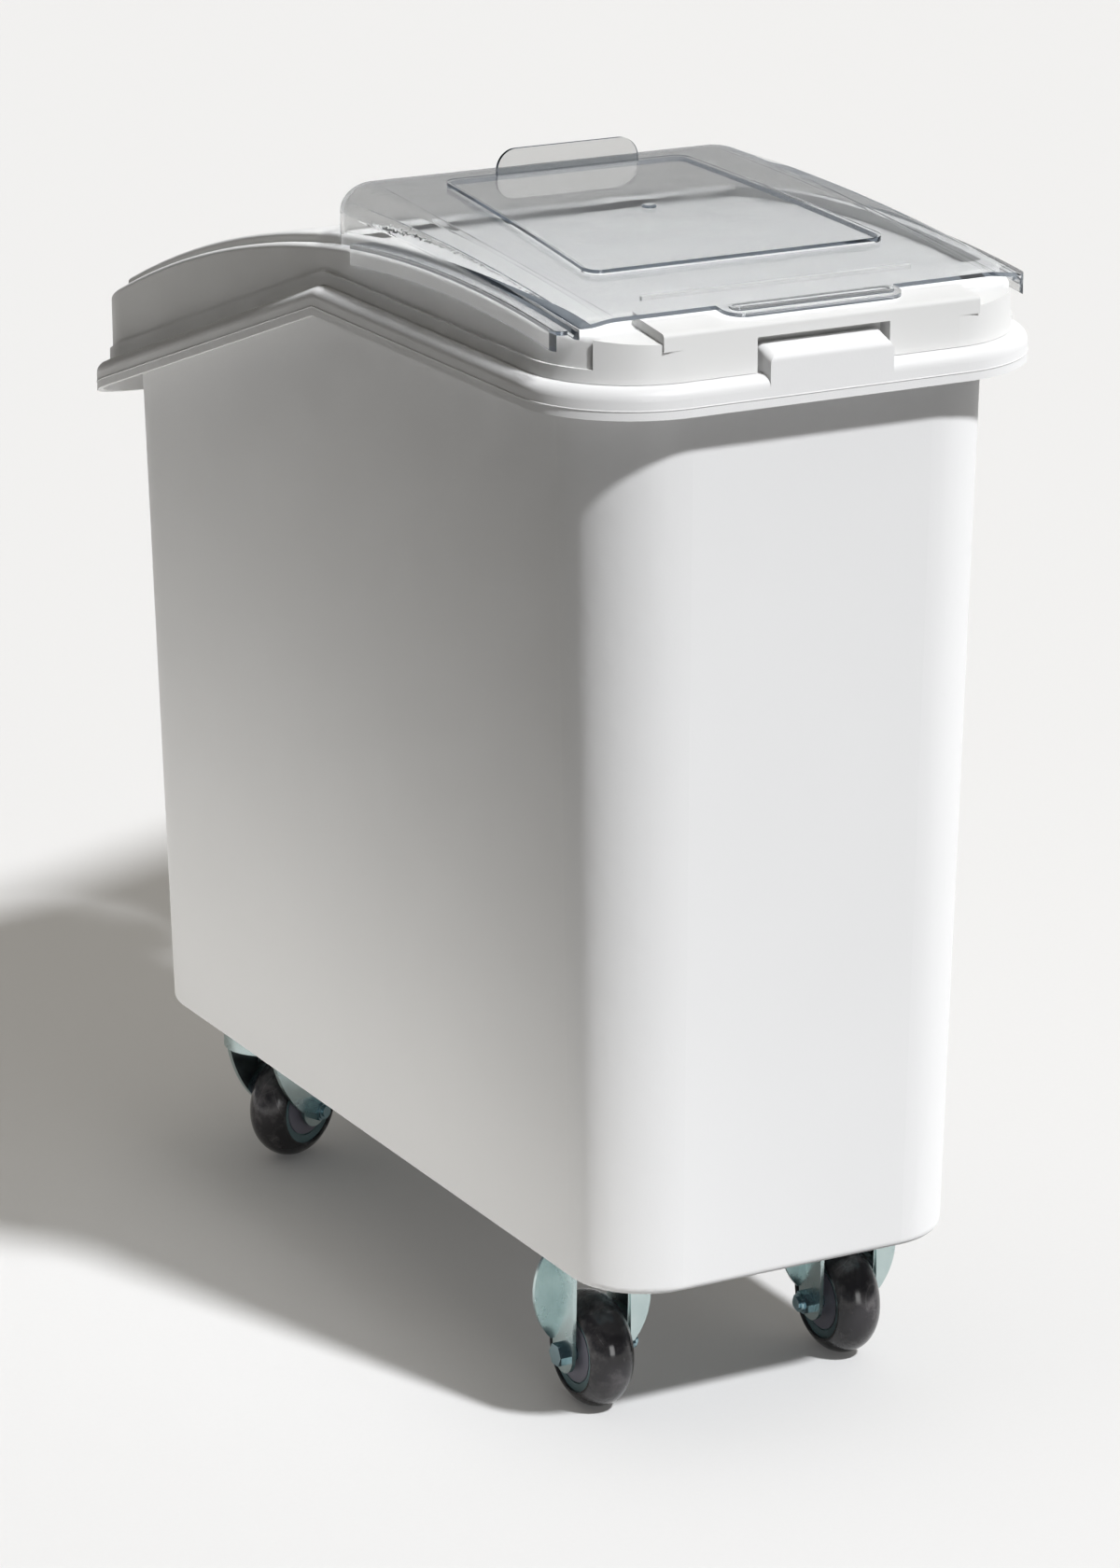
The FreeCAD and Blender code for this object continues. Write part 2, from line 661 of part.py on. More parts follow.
inside_low = size.RimBackTop - size.RimWidth / 3
skirt_hollow = side_block(
    "SkirtHollow",
    below_arc(under_ledge, inside_low, frame_front + size.FrameWall, frame_back - size.FrameWall),
    frame_half - size.FrameWall,
    rounded_plan(frame_half - size.FrameWall, frame_front + size.FrameWall,
                 frame_back - size.FrameWall, size.SkirtCorner - size.FrameWall))
nose_hollow = side_block(
    "NoseHollow",
    below_arc(curb_radius - size.RoofThickness, inside_low, frame_front + size.FrameWall,
              curb_front - size.RoofThickness),
    nose_half - size.FrameWall, None)
hood_hollow = side_block(
    "HoodHollow",
    below_arc(curb_radius - size.RoofThickness, inside_low, hatch_front,
              hood_back - size.FrameWall),
    hatch_half, None)
hatch_hole = side_block(
    "HatchHole",
    [(hatch_front, inside_low, None), (hatch_back, inside_low, None),
     (hatch_back, above, None), (hatch_front, above, None)],
    hatch_half, None)
frame_shell = cut_from(
    "FrameShell", joined("FrameSolid", [skirt, band, curb, nose]),
    joined("FrameHollow", [skirt_hollow, nose_hollow, hood_hollow, hatch_hole]))

track = side_block(
    "Track",
    arc_band(under_ledge - size.TrackThickness, under_ledge, curb_front,
             hood_back - size.FrameWall / 2),
    curb_half, None)
track_gap = new_sketch(track, "XY_Plane", "TrackGap")
draw_line(track_gap, rectangle(size.TrackReach - hatch_half, rim_front, hatch_half - size.TrackReach,
                               rim_back))
cut_through(track, track_gap)

slot_half = size.BossWidth / 2 + size.SlotGap
slot_top = size.RimFrontTop + size.BossBackRise + size.SlotGap
slot_back = boss_back + size.SlotBackGap
slot_foot = size.RimFrontTop - size.SlotDepth
slot = side_block(
    "Slot",
    [(trim_front, slot_foot, None), (slot_back, slot_foot, None),
     (slot_back, slot_top, None), (trim_front, slot_top, None)],
    slot_half, None)
slot_box = side_block(
    "SlotBox",
    [(face_front, size.RimFrontTop + size.SeatGap, None),
     (slot_back + size.FrameWall, size.RimFrontTop + size.SeatGap, None),
     (slot_back + size.FrameWall, slot_top + size.FrameWall, None),
     (face_front, slot_top + size.FrameWall, None)],
    slot_half + size.FrameWall, None)
frame_whole = joined("FrameWhole", [frame_shell, seat_ring, track, slot_box])
keep("lid_frame", cut_from("LidFrame", frame_whole, slot))


# Clear cover: thin shell that rides on the ledge and passes over the hood.
cover_front = face_front + size.CoverFrontInset
cover_rear = hatch_back + size.CoverOverlap
cover_foot = size.LedgeRadius + size.CoverGap
cover_half = curb_half + size.CoverSideGap + size.CoverWall
top_front = size.RimFrontTop + size.CoverFrontRise
top_rear = size.RimFrontTop + size.CoverRearRise
fold_y = rim_front + size.FoldApexInset
fold_z = size.RimFrontTop + size.FoldRise - size.FoldRadius


def chord_centre(y0, z0, y1, z1, radius):
    run = y1 - y0
    rise = z1 - z0
    span = root(run * run + rise * rise)
    away = root(radius * radius - span * span / 4)
    return (y0 + y1) / 2 + rise / span * away, (z0 + z1) / 2 - run / span * away


top_y, top_z = chord_centre(cover_front, top_front, cover_rear, top_rear, size.CoverTopRadius)


def top_height(y, offset):
    radius = size.CoverTopRadius + offset
    return top_z + root(radius * radius - (y - top_y) * (y - top_y))


def fold_height(y, offset):
    radius = size.FoldRadius + offset
    return fold_z + root(radius * radius - (y - fold_y) * (y - fold_y))


def cover_block(name, inset, foot_radius, front):
    # Runs past the front edge, where it is cut to its plan once its edges are rounded.
    back = cover_rear - inset
    half = cover_half - inset
    corner = size.CoverRearCorner - inset
    start = front - size.CutMargin
    body = side_block(name, [
        (start, arc_height(foot_radius, start), (foot_radius, -1)),
        (back, arc_height(foot_radius, back), None),
        (back, top_height(back, -inset), (size.CoverTopRadius - inset, 1)),
        (start, top_height(start, -inset), None),
    ], half, [
        (half, start - size.CutMargin, None), (half, back - corner, (corner, 1)),
        (half - corner, back, None), (corner - half, back, (corner, 1)),
        (-half, back - corner, None), (-half, start - size.CutMargin, None)])
    # Sloping shoulders, from the flat top down to the folds above the side walls
    far_front = start - size.CutMargin
    far_back = cover_rear + size.CutMargin
    for sign in (-1, 1):
        near = new_sketch(body, "YZ_Plane", name + "Near", (cover_half - size.ShoulderWidth) * sign)
        draw_line(near, [
            (far_front, top_height(far_front, -inset), (size.CoverTopRadius - inset, -1)),
            (far_back, top_height(far_back, -inset), None),
            (far_back, above, None), (far_front, above, None)])
        far = new_sketch(body, "YZ_Plane", name + "Far", cover_half * sign)
        draw_line(far, [
            (far_front, fold_height(far_front, -inset), (size.FoldRadius - inset, -1)),
            (far_back, fold_height(far_back, -inset), None),
            (far_back, above, None), (far_front, above, None)])
        loft = body.newObject("PartDesign::SubtractiveLoft", "Shoulder")
        loft.Profile = near
        loft.Sections = [far]
        loft.Ruled = True

    def on_line(point, reach, height):
        return (abs(abs(point.x) - reach.value) < 0.3
                and abs(point.z - height(as_size(point.y), -inset).value) < 0.6)

    wall_middle = (arc_height(foot_radius, back).value + top_height(back, -inset).value) / 2

    def on_rear(point):
        aside = max(abs(point.x) - (half - corner).value, 0.0)
        behind = point.y - (back - corner).value
        return point.z > wall_middle and abs(math.hypot(aside, behind) - corner.value) < 0.1

    round_edges(body, size.ShoulderRound - inset,
                lambda m, e: all(on_line(p, cover_half - size.ShoulderWidth, top_height)
                                 for p in e + [m]))
    round_edges(body, size.FoldRound - inset,
                lambda m, e: all(on_line(p, half, fold_height) for p in e + [m])
                or all(on_rear(p) for p in e + [m]))
    return body


cover_outer = cover_block("CoverOuter", as_size(0.0), cover_foot, cover_front)
front_cut = new_sketch(cover_outer, "XY_Plane", "CoverFrontPlan")
front_corner = size.CoverFrontCorner
cut_reach = cover_half + size.CutMargin
cut_start = cover_front - size.CutMargin * 2
draw_line(front_cut, [
    (-cut_reach, cut_start, None), (cut_reach, cut_start, None),
    (cut_reach, cover_front + front_corner, None),
    (cover_half, cover_front + front_corner, (front_corner, -1)),
    (cover_half - front_corner, cover_front, None),
    (front_corner - cover_half, cover_front, (front_corner, -1)),
    (-cover_half, cover_front + front_corner, None),
    (-cut_reach, cover_front + front_corner, None)])
cut_through(cover_outer, front_cut)
cover_inner = cover_block("CoverInner", size.CoverWall, cover_foot - size.CurbRise,
                          cover_front - size.CutMargin)
panel_front = cover_front + size.PanelFrontInset
panel_rear = cover_rear - size.PanelRearInset


def panel_block(name, inset):
    depth = size.CoverWall * 2
    front = panel_front + inset
    back = panel_rear - inset
    rise = size.PanelRise - inset
    body = side_block(name, [
        (front, top_height(front, rise - depth), (size.CoverTopRadius + rise - depth, -1)),
        (back, top_height(back, rise - depth), None),
        (back, top_height(back, rise), (size.CoverTopRadius + rise, 1)),
        (front, top_height(front, rise), None),
    ], size.PanelFrontWidth / 2, [
        (size.PanelFrontWidth / 2 - inset, front, None), (size.PanelRearWidth / 2 - inset, back, None),
        (inset - size.PanelRearWidth / 2, back, None), (inset - size.PanelFrontWidth / 2, front, None),
    ])
    round_edges(body, size.PanelCorner - inset,
                lambda m, e: len(e) == 2 and abs(e[0].x - e[1].x) < 0.01
                and abs(e[0].y - e[1].y) < 0.01 and abs(e[0].z - e[1].z) > 1)
    return body


panel_outer = panel_block("PanelOuter", as_size(0.0))
panel_inner = panel_block("PanelInner", size.CoverWall)

flange_half = cover_half + size.FlangeReach
flange_front = cover_front + size.FlangeFrontInset
flange_rear = cover_rear - size.FlangeRearInset
lip_radius = size.LedgeRadius - size.SkirtLipDepth
flange = side_block(
    "Flange", arc_band(lip_radius, cover_foot + size.CoverWall, flange_front, flange_rear),
    flange_half, rounded_plan(flange_half, flange_front, flange_rear, size.FlangeCorner))
flange_gap = new_sketch(flange, "XY_Plane", "FlangeGap")
inner_edge = cover_half - size.CoverWall / 2
draw_line(flange_gap, rectangle(-inner_edge, rim_front, inner_edge, rim_back))
cut_through(flange, flange_gap)
flange_under = new_sketch(flange, "YZ_Plane", "FlangeUnder")
draw_line(flange_under, below_arc(cover_foot, inside_low, flange_front - 5, flange_rear + 5))
cut_width(flange, flange_under, (flange_half - size.CoverWall) * 2)

tab_y = cover_rear - size.TabInset
tab_foot = top_height(tab_y, size.PanelRise - size.CoverWall / 2)
tab_top = top_height(tab_y, size.PanelRise + size.TabRise)
tab_half = size.TabWidth / 2
tab = new_body("Tab")
tab_sketch = new_sketch(tab, "XZ_Plane", "TabFace", -tab_y)
draw_line(tab_sketch, [
    (-tab_half, tab_foot, None), (tab_half, tab_foot, None),
    (tab_half, tab_top - size.TabCorner, (size.TabCorner, 1)),
    (tab_half - size.TabCorner, tab_top, None),
    (size.TabCorner - tab_half, tab_top, (size.TabCorner, 1)),
    (-tab_half, tab_top - size.TabCorner, None)])
pad(tab, tab_sketch, size.CoverWall, symmetric=True)

lip_half = size.LipWidth / 2
lip_front = cover_front - size.LipReach
lip_root = cover_front + size.CoverWall * 3
lip = side_block("Lip", [
    (lip_front, top_front - size.LipDrop - size.CoverWall, None),
    (cover_front, top_front - size.CoverWall, None),
    (lip_root, top_height(lip_root, -size.CoverWall), None),
    (lip_root, top_height(lip_root, as_size(-1.0)), None),
    (cover_front, top_front, None),
    (lip_front, top_front - size.LipDrop, None),
], lip_half, rounded_plan(lip_half, lip_front, lip_root, size.LipCorner, as_size(2.0)))
rib = new_body("LipRib")
rib_sketch = new_sketch(rib, "XY_Plane", "LipRibPlan", top_front - size.LipDrop - 1)
rib_share = 0.45
for inset in (size.LipRibInset, size.LipRibInset + size.LipRibWidth):
    draw_line(rib_sketch, rounded_plan(lip_half - inset, lip_front + inset,
                                       cover_front - inset / 2,
                                       (size.LipReach - inset * 1.5) * rib_share))
pad(rib, rib_sketch, size.LipDrop + 1 + size.LipRibRise - 1)
gate = new_body("Gate")
gate_y = cover_rear - size.GateInset
gate_sketch = new_sketch(gate, "XY_Plane", "GatePlan", top_height(gate_y, size.PanelRise - 1))
draw_circle(gate_sketch, as_size(0.0), gate_y, size.GateRadius)
pad(gate, gate_sketch, size.GateRise + 1)
round_edges(gate, size.GateRise, lambda m, e: m.z > top_height(gate_y, size.PanelRise).value)

over_curb = side_block(
    "OverCurb",
    below_arc(curb_radius + size.CoverGap, inside_low, cover_front - 5, cover_rear + 5),
    cover_half - size.CoverWall, None)
keep("clear_cover", cut_from(
    "ClearCover", joined("CoverSolid", [cover_outer, panel_outer, flange, tab, lip, rib, gate]),
    joined("CoverHollow", [cover_inner, panel_inner, over_curb])))


# White inner panel: closes the hatch under the clear cover and slides with it.
panel_low = under_ledge + size.InnerPanelGap
sheet_front = hatch_front + size.InnerPanelFrontGap
inner_panel = side_block(
    "InnerPanel",
    arc_band(panel_low, panel_low + size.InnerPanelThickness, sheet_front,
             hatch_back + size.InnerPanelOverlap),
    hatch_half - size.InnerPanelSideGap, None)
upstand = new_sketch(inner_panel, "YZ_Plane", "Upstand")
upstand_back = sheet_front + size.UpstandThickness
draw_line(upstand, [
    (sheet_front, arc_height(panel_low + 1, sheet_front), None),
    (upstand_back, arc_height(panel_low + 1, upstand_back), None),
    (upstand_back, top_height(upstand_back, -size.CoverWall), None),
    (sheet_front, top_height(sheet_front, -size.CoverWall), None)])
pad(inner_panel, upstand, size.UpstandWidth, symmetric=True)
keep("inner_panel", inner_panel)


# Casters. Each is modelled about its own plate: origin in the plate's top face, axle along X.
drop = size.TubBottom - size.WheelRadius
leg_inner = size.LegSpacing / 2
leg_outer = leg_inner + size.LegThickness
zero = as_size(0.0)


def place_body(body, x, y, z, turn):
    body.Placement = Placement(Vector(x.value, y.value, z.value), Rotation(Vector(0, 0, 1), turn.value))
    bind(body, ".Placement.Base.x", x)
    bind(body, ".Placement.Base.y", y)
    bind(body, ".Placement.Base.z", z)
    bind(body, ".Placement.Rotation.Angle", turn)
    return body


def plate_sketch(body, name):
    sketch = new_sketch(body, "XY_Plane", name)
    draw_line(sketch, rounded_plan(size.PlateWidth / 2, -(size.PlateLength / 2),
                                   size.PlateLength / 2, size.PlateCorner))
    for side_x in (-1, 1):
        for side_y in (-1, 1):
            draw_circle(sketch, size.BoltPitchWide / 2 * side_x, size.BoltPitchLong / 2 * side_y,
                        size.BoltRadius + size.BoltHoleGap)
    return sketch


def leg_pair(body, name, top_z, front_y, back_y, axle_y, bow=None):
    end = size.LegEndWidth / 2
    for side, reverse in ((-1, True), (1, False)):
        sketch = new_sketch(body, "YZ_Plane", name + "Leg", leg_inner * side)
        draw_line(sketch, [
            (front_y, top_z, bow), (axle_y - end, -drop, (end, 1)),
            (axle_y, -drop - end, (end, 1)), (axle_y + end, -drop, None), (back_y, top_z, None)])
        draw_circle(sketch, axle_y, -drop, size.AxleRadius + size.AxleHoleGap)
        pad(body, sketch, size.LegThickness, reverse=reverse)


def rigid_fork(name):
    body = new_body(name)
    pad(body, plate_sketch(body, name + "Plate"), size.PlateThickness, reverse=True)
    half = size.LegTopWidth / 2
    leg_pair(body, name, -(size.PlateThickness / 2), -half, half, zero)
    # Each leg has one ear, bent outwards: the left leg at its back, the right leg at its front.
    for hand in (-1, 1):
        sketch = new_sketch(body, "XZ_Plane", name + "Ear", half * hand)
        inner = (leg_outer - size.LegThickness / 2) * hand
        outer = (leg_outer + size.LegEarFoot) * hand
        draw_line(sketch, [
            (inner, -(size.PlateThickness / 2), None),
            (outer, -(size.PlateThickness / 2), (size.LegEarRadius, -hand)),
            (outer, -size.LegEarDepth, None), (inner, -size.LegEarDepth, None)])
        pad(body, sketch, size.LegThickness, reverse=(hand == 1))
    return body


def swivel_fork(name):
    body = new_body(name)
    crown = new_sketch(body, "XY_Plane", name + "Crown", -size.CrownDepth)
    draw_circle(crown, zero, zero, size.CrownRadius)
    draw_circle(crown, zero, zero, size.PinRadius + size.RunningGap)
    pad(body, crown, size.PlateThickness, reverse=True)
    wall = new_sketch(body, "XY_Plane", name + "Wall", -size.CrownDepth - size.PlateThickness / 2)
    draw_circle(wall, zero, zero, size.CrownRadius)
    draw_circle(wall, zero, zero, size.CrownRadius - size.LegThickness)
    pad(body, wall, size.CrownWallHeight + size.PlateThickness / 2)
    half = size.SwivelLegTopWidth / 2
    leg_pair(body, name, -size.CrownDepth - size.PlateThickness / 2, -half, half,
             size.SwivelTrail, (size.SwivelLegRadius, 1))
    return body


def swivel_plate(name):
    body = new_body(name)
    sketch = plate_sketch(body, name + "Plate")
    draw_circle(sketch, zero, zero, size.DishRadius)
    pad(body, sketch, size.PlateThickness, reverse=True)
    dish = new_sketch(body, "XZ_Plane", name + "Dish")
    wall = size.PlateThickness
    draw_line(dish, [
        (size.DishRadius, zero, None), (size.DishRadius + wall, zero, None),
        (size.DishRadius + wall, -wall, None),
        (size.DishRadius - size.DishDraft + wall / 2, -size.DishDepth - wall, None),
        (size.PinRadius + size.AxleHoleGap, -size.DishDepth - wall, None),
        (size.PinRadius + size.AxleHoleGap, -size.DishDepth, None),
        (size.DishRadius - size.DishDraft, -size.DishDepth, None)])
    turned(body, dish, "V_Axis")
    race = new_sketch(body, "XZ_Plane", name + "Race")
    race_foot = -size.CrownDepth + size.BallGap * 2 + size.BallRadius * 2
    draw_line(race, rectangle(size.BallCircle - size.RaceWidth / 2, race_foot,
                              size.BallCircle + size.RaceWidth / 2, -(wall / 2)))
    turned(body, race, "V_Axis")
    return body


def king_pin(name):
    body = new_body(name)
    sketch = new_sketch(body, "XZ_Plane", name + "Half")
    head_top = size.PinHeadHeight - size.DishDepth
    low_face = -size.CrownDepth - size.PlateThickness - size.PinHeadGap
    draw_line(sketch, [
        (zero, low_face - size.PinHeadHeight, None),
        (size.PinHeadRadius, low_face - size.PinHeadHeight, None),
        (size.PinHeadRadius, low_face, None), (size.PinRadius, low_face, None),
        (size.PinRadius, -size.DishDepth, None), (size.PinHeadRadius, -size.DishDepth, None),
        (size.PinHeadRadius, head_top, None), (zero, head_top, None)])
    turned(body, sketch, "V_Axis")
    return body


def ball_ring(name):
    body = new_body(name)
    sketch = new_sketch(body, "XZ_Plane", name + "Half")
    level = -size.CrownDepth + size.BallGap + size.BallRadius
    draw_line(sketch, [
        (size.BallCircle, level - size.BallRadius, (size.BallRadius, 1)),
        (size.BallCircle + size.BallRadius, level, (size.BallRadius, 1)),
        (size.BallCircle, level + size.BallRadius, None)])
    ball = body.newObject("PartDesign::Revolution", "Ball")
    ball.Profile = sketch
    axis_line = sketch.addGeometry(Part.LineSegment(
        Vector(size.BallCircle.value, level.value - 1, 0),
        Vector(size.BallCircle.value, level.value + 1, 0)), True)
    sketch.addConstraint(Sketcher.Constraint("Vertical", axis_line))
    sketch.addConstraint(Sketcher.Constraint("PointOnObject", 0, 1, axis_line))
    number = sketch.addConstraint(Sketcher.Constraint("DistanceY", -1, 1, axis_line, 1, level.value - 1))
    bind(sketch, "Constraints[" + str(number) + "]", level - 1)
    number = sketch.addConstraint(Sketcher.Constraint("DistanceY", -1, 1, axis_line, 2, level.value + 1))
    bind(sketch, "Constraints[" + str(number) + "]", level + 1)
    ball.ReferenceAxis = (sketch, ["Axis0"])
    ball.Angle = 360
    doc.recompute()
    pattern = body.newObject("PartDesign::PolarPattern", "Ring")
    pattern.Originals = [ball]
    axis = [f for f in body.Origin.OriginFeatures if f.Role == "Z_Axis"][0]
    pattern.Axis = (axis, [""])
    pattern.Angle = 360
    pattern.Occurrences = ball_count
    body.Tip = pattern
    return body


def wheel_ring(name, profile):
    body = new_body(name)
    sketch = new_sketch(body, "XZ_Plane", name + "Half")
    for line in profile:
        draw_line(sketch, line)
    turned(body, sketch, "H_Axis")
    return body


tread_half = size.TreadWidth / 2
tread_edge = size.WheelRadius - size.TreadCrown + root(
    size.TreadCrown * size.TreadCrown - tread_half * tread_half)
core_half = size.CoreWidth / 2
recess = core_half - size.RecessDepth
bore = size.SleeveRadius + size.RunningGap
tread_lines = [[
    (-tread_half, size.CoreRadius, None), (tread_half, size.CoreRadius, None),
    (tread_half, tread_edge, (size.TreadCrown, 1)), (-tread_half, tread_edge, None)]]
core_lines = [[
    (-recess, size.BearingRadius, None), (recess, size.BearingRadius, None),
    (recess, size.RecessRadius, None), (core_half, size.RecessRadius, None),
    (core_half, size.CoreRadius, None), (-core_half, size.CoreRadius, None),
    (-core_half, size.RecessRadius, None), (-recess, size.RecessRadius, None)]]
bearing_lines = [rectangle(-recess, bore, recess, size.BearingRadius)]
dust_lines = [
    rectangle(-core_half, size.DustCoverBore, -recess, size.DustCoverRadius),
    rectangle(recess, size.DustCoverBore, core_half, size.DustCoverRadius)]


def axle_sleeve(name):
    return wheel_ring(name, [rectangle(-leg_inner, size.AxleRadius + size.AxleHoleGap,
                                       leg_inner, size.SleeveRadius)])


def axle_bolt(name, head_side):
    body = new_body(name)
    head = new_sketch(body, "YZ_Plane", name + "Head", leg_outer * head_side)
    draw_line(head, hexagon(zero, zero, size.NutAcrossFlats))
    pad(body, head, size.AxleHeadHeight, reverse=(head_side < 0))
    tail = leg_outer + size.AxleNutHeight + size.AxleCollarHeight + size.AxleTail
    shank = new_sketch(body, "YZ_Plane", name + "Shank", (leg_outer + 1) * head_side)
    draw_circle(shank, zero, zero, size.AxleRadius)
    pad(body, shank, leg_outer + 1 + tail, reverse=(head_side > 0))
    return body


def axle_nut(name, head_side):
    body = new_body(name)
    hexagon_sketch = new_sketch(body, "YZ_Plane", name + "Flats", leg_outer * -head_side)
    draw_line(hexagon_sketch, hexagon(zero, zero, size.NutAcrossFlats))
    draw_circle(hexagon_sketch, zero, zero, size.AxleRadius + size.ThreadGap)
    pad(body, hexagon_sketch, size.AxleNutHeight, reverse=(head_side > 0))
    collar = new_sketch(body, "YZ_Plane", name + "Collar",
                        (leg_outer + size.AxleNutHeight - 1) * -head_side)
    draw_circle(collar, zero, zero, size.AxleCollarRadius)
    draw_circle(collar, zero, zero, size.AxleRadius + size.ThreadGap)
    pad(body, collar, size.AxleCollarHeight + 1, reverse=(head_side > 0))
    return body


def grouped(node, pieces):
    group = doc.addObject("Part::Compound", node + "_group")
    group.Links = pieces
    keep(node, group)


def axle_place(x, y, turn, trail):
    # The axle's middle lies behind the swivel axis, in the direction that the fork is turned to.
    angle = turn.formula + " * 1 deg"
    offset_x = Size(-trail.value * math.sin(math.radians(turn.value)),
                    "(0 - " + trail.formula + " * sin(" + angle + "))")
    offset_y = Size(trail.value * math.cos(math.radians(turn.value)),
                    "(" + trail.formula + " * cos(" + angle + "))")
    return x + offset_x, y + offset_y



half_turn = as_size(180.0)
casters = [
    ("front_left", -caster_half, front_caster_y, half_turn, zero, 1),
    ("front_right", caster_half, front_caster_y, zero, zero, 1),
    ("rear_left", -caster_half, rear_caster_y, size.LeftSwivelTurn, size.SwivelTrail, -1),
    ("rear_right", caster_half, rear_caster_y, size.RightSwivelTurn, size.SwivelTrail, -1),
]
rigid_sleeves = []
rigid_bolts = []
rigid_nuts = []
pins = []
for where, x, y, turn, trail, head_side in casters:
    axle_x, axle_y = axle_place(x, y, turn, trail)
    if trail is zero:
        axle_x, axle_y = x, y

    def at_axle(body):
        return place_body(body, axle_x, axle_y, size.WheelRadius, turn)

    keep("tread_" + where, at_axle(wheel_ring("Tread_" + where, tread_lines)))
    keep("wheel_core_" + where, at_axle(wheel_ring("Core_" + where, core_lines)))
    keep("bearing_" + where, at_axle(wheel_ring("Bearing_" + where, bearing_lines)))
    keep("dust_covers_" + where, at_axle(wheel_ring("Dust_" + where, dust_lines)))
    sleeve = at_axle(axle_sleeve("Sleeve_" + where))
    bolt = at_axle(axle_bolt("Axle_" + where, head_side))
    nut = at_axle(axle_nut("AxleNut_" + where, head_side))
    if trail is zero:
        keep("rigid_fork_" + where, place_body(rigid_fork("Fork_" + where), x, y, size.TubBottom, turn))
        rigid_sleeves.append(sleeve)
        rigid_bolts.append(bolt)
        rigid_nuts.append(nut)
    else:
        keep("axle_sleeve_" + where, sleeve)
        keep("axle_bolt_" + where, bolt)
        keep("axle_nut_" + where, nut)
        keep("swivel_fork_" + where,
             place_body(swivel_fork("Fork_" + where), x, y, size.TubBottom, turn))
        keep("swivel_plate_" + where,
             place_body(swivel_plate("Plate_" + where), x, y, size.TubBottom, zero))
        keep("swivel_balls_" + where,
             place_body(ball_ring("Balls_" + where), x, y, size.TubBottom, turn))
        pins.append(place_body(king_pin("Pin_" + where), x, y, size.TubBottom, zero))
grouped("rigid_axle_sleeves", rigid_sleeves)
grouped("rigid_axle_bolts", rigid_bolts)
grouped("rigid_axle_nuts", rigid_nuts)
grouped("king_pins", pins)


# Plate bolts: round heads under the caster plates, washers and thin nuts inside the tub.
head_low = size.TubBottom - size.PlateThickness - size.BoltHeadHeight
floor_face = size.TubBottom + size.TubFloor
nut_face = floor_face + size.WasherThickness
bolts = new_body("PlateBolts")
heads = new_sketch(bolts, "XY_Plane", "PlateHeads", head_low)
shanks = new_sketch(bolts, "XY_Plane", "PlateShanks", head_low + 1)
washers = new_body("PlateWashers")
rings = new_sketch(washers, "XY_Plane", "WasherRings", floor_face)
nuts = new_body("PlateNuts")
flats = new_sketch(nuts, "XY_Plane", "NutFlats", nut_face)
for u, v in bolt_places:
    draw_circle(heads, u, v, size.BoltHeadRadius)
    draw_circle(shanks, u, v, size.BoltRadius)
    draw_circle(rings, u, v, size.WasherRadius)
    draw_circle(rings, u, v, size.BoltRadius + size.BoltHoleGap)
    draw_line(flats, hexagon(u, v, size.NutAcrossFlats))
    draw_circle(flats, u, v, size.BoltRadius + size.ThreadGap)
pad(bolts, heads, size.BoltHeadHeight)
pad(bolts, shanks, nut_face + size.NutHeight + size.BoltTail - head_low - 1)
low_edge = head_low.value
round_edges(bolts, size.BoltHeadHeight - 1, lambda m, e: abs(m.z - low_edge) < 0.01)
pad(washers, rings, size.WasherThickness)
pad(nuts, flats, size.NutHeight)
keep("caster_bolts", bolts)
keep("caster_washers", washers)
keep("caster_nuts", nuts)

doc.recompute()
faults = []
for thing in doc.Objects:
    if "Invalid" in thing.State or "Error" in thing.State:
        faults.append(thing.Name + " " + str(thing.State))
for node, thing in nodes.items():
    if thing.Shape.isNull() or not thing.Shape.isValid():
        faults.append(node + " has no valid shape")
if faults:
    raise RuntimeError("; ".join(faults))

os.makedirs("parts", exist_ok=True)
for node, thing in nodes.items():
    thing.Shape.exportStep("parts/" + node + ".step")
    box = thing.Shape.optimalBoundingBox()
    print(node, len(thing.Shape.Solids), round(thing.Shape.Volume / 1000.0, 2),
          [round(v, 1) for v in (box.XMin, box.XMax, box.YMin, box.YMax, box.ZMin, box.ZMax)])
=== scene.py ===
import math

import bmesh
import bpy
from mathutils import Matrix, Vector


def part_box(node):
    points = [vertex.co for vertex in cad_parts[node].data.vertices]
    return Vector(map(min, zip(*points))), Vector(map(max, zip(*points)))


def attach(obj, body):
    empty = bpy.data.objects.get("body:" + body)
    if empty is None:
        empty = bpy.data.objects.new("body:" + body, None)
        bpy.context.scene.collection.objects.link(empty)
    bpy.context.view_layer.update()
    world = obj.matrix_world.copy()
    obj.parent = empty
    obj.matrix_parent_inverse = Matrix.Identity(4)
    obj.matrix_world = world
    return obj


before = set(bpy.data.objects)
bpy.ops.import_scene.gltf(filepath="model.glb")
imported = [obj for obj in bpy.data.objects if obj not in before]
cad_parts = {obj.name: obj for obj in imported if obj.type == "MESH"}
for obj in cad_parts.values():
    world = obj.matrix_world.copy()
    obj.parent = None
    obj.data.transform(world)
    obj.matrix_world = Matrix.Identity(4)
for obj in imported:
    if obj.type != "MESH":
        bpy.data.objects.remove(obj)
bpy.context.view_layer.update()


# Tub: the deep storage body, rotationally moulded from white polyethylene in one shot.
# The mould's blasted walls leave a satin skin with a faint orange peel, and the wide flat
# sides wander by a few tenths of a millimetre as they cool, which bends their reflections.
def colour(code):
    """An sRGB hex colour as the linear colour that shaders take."""
    parts = [int(code[i:i + 2], 16) / 255 for i in (1, 3, 5)]
    return [p / 12.92 if p <= 0.04045 else ((p + 0.055) / 1.055) ** 2.4 for p in parts] + [1.0]


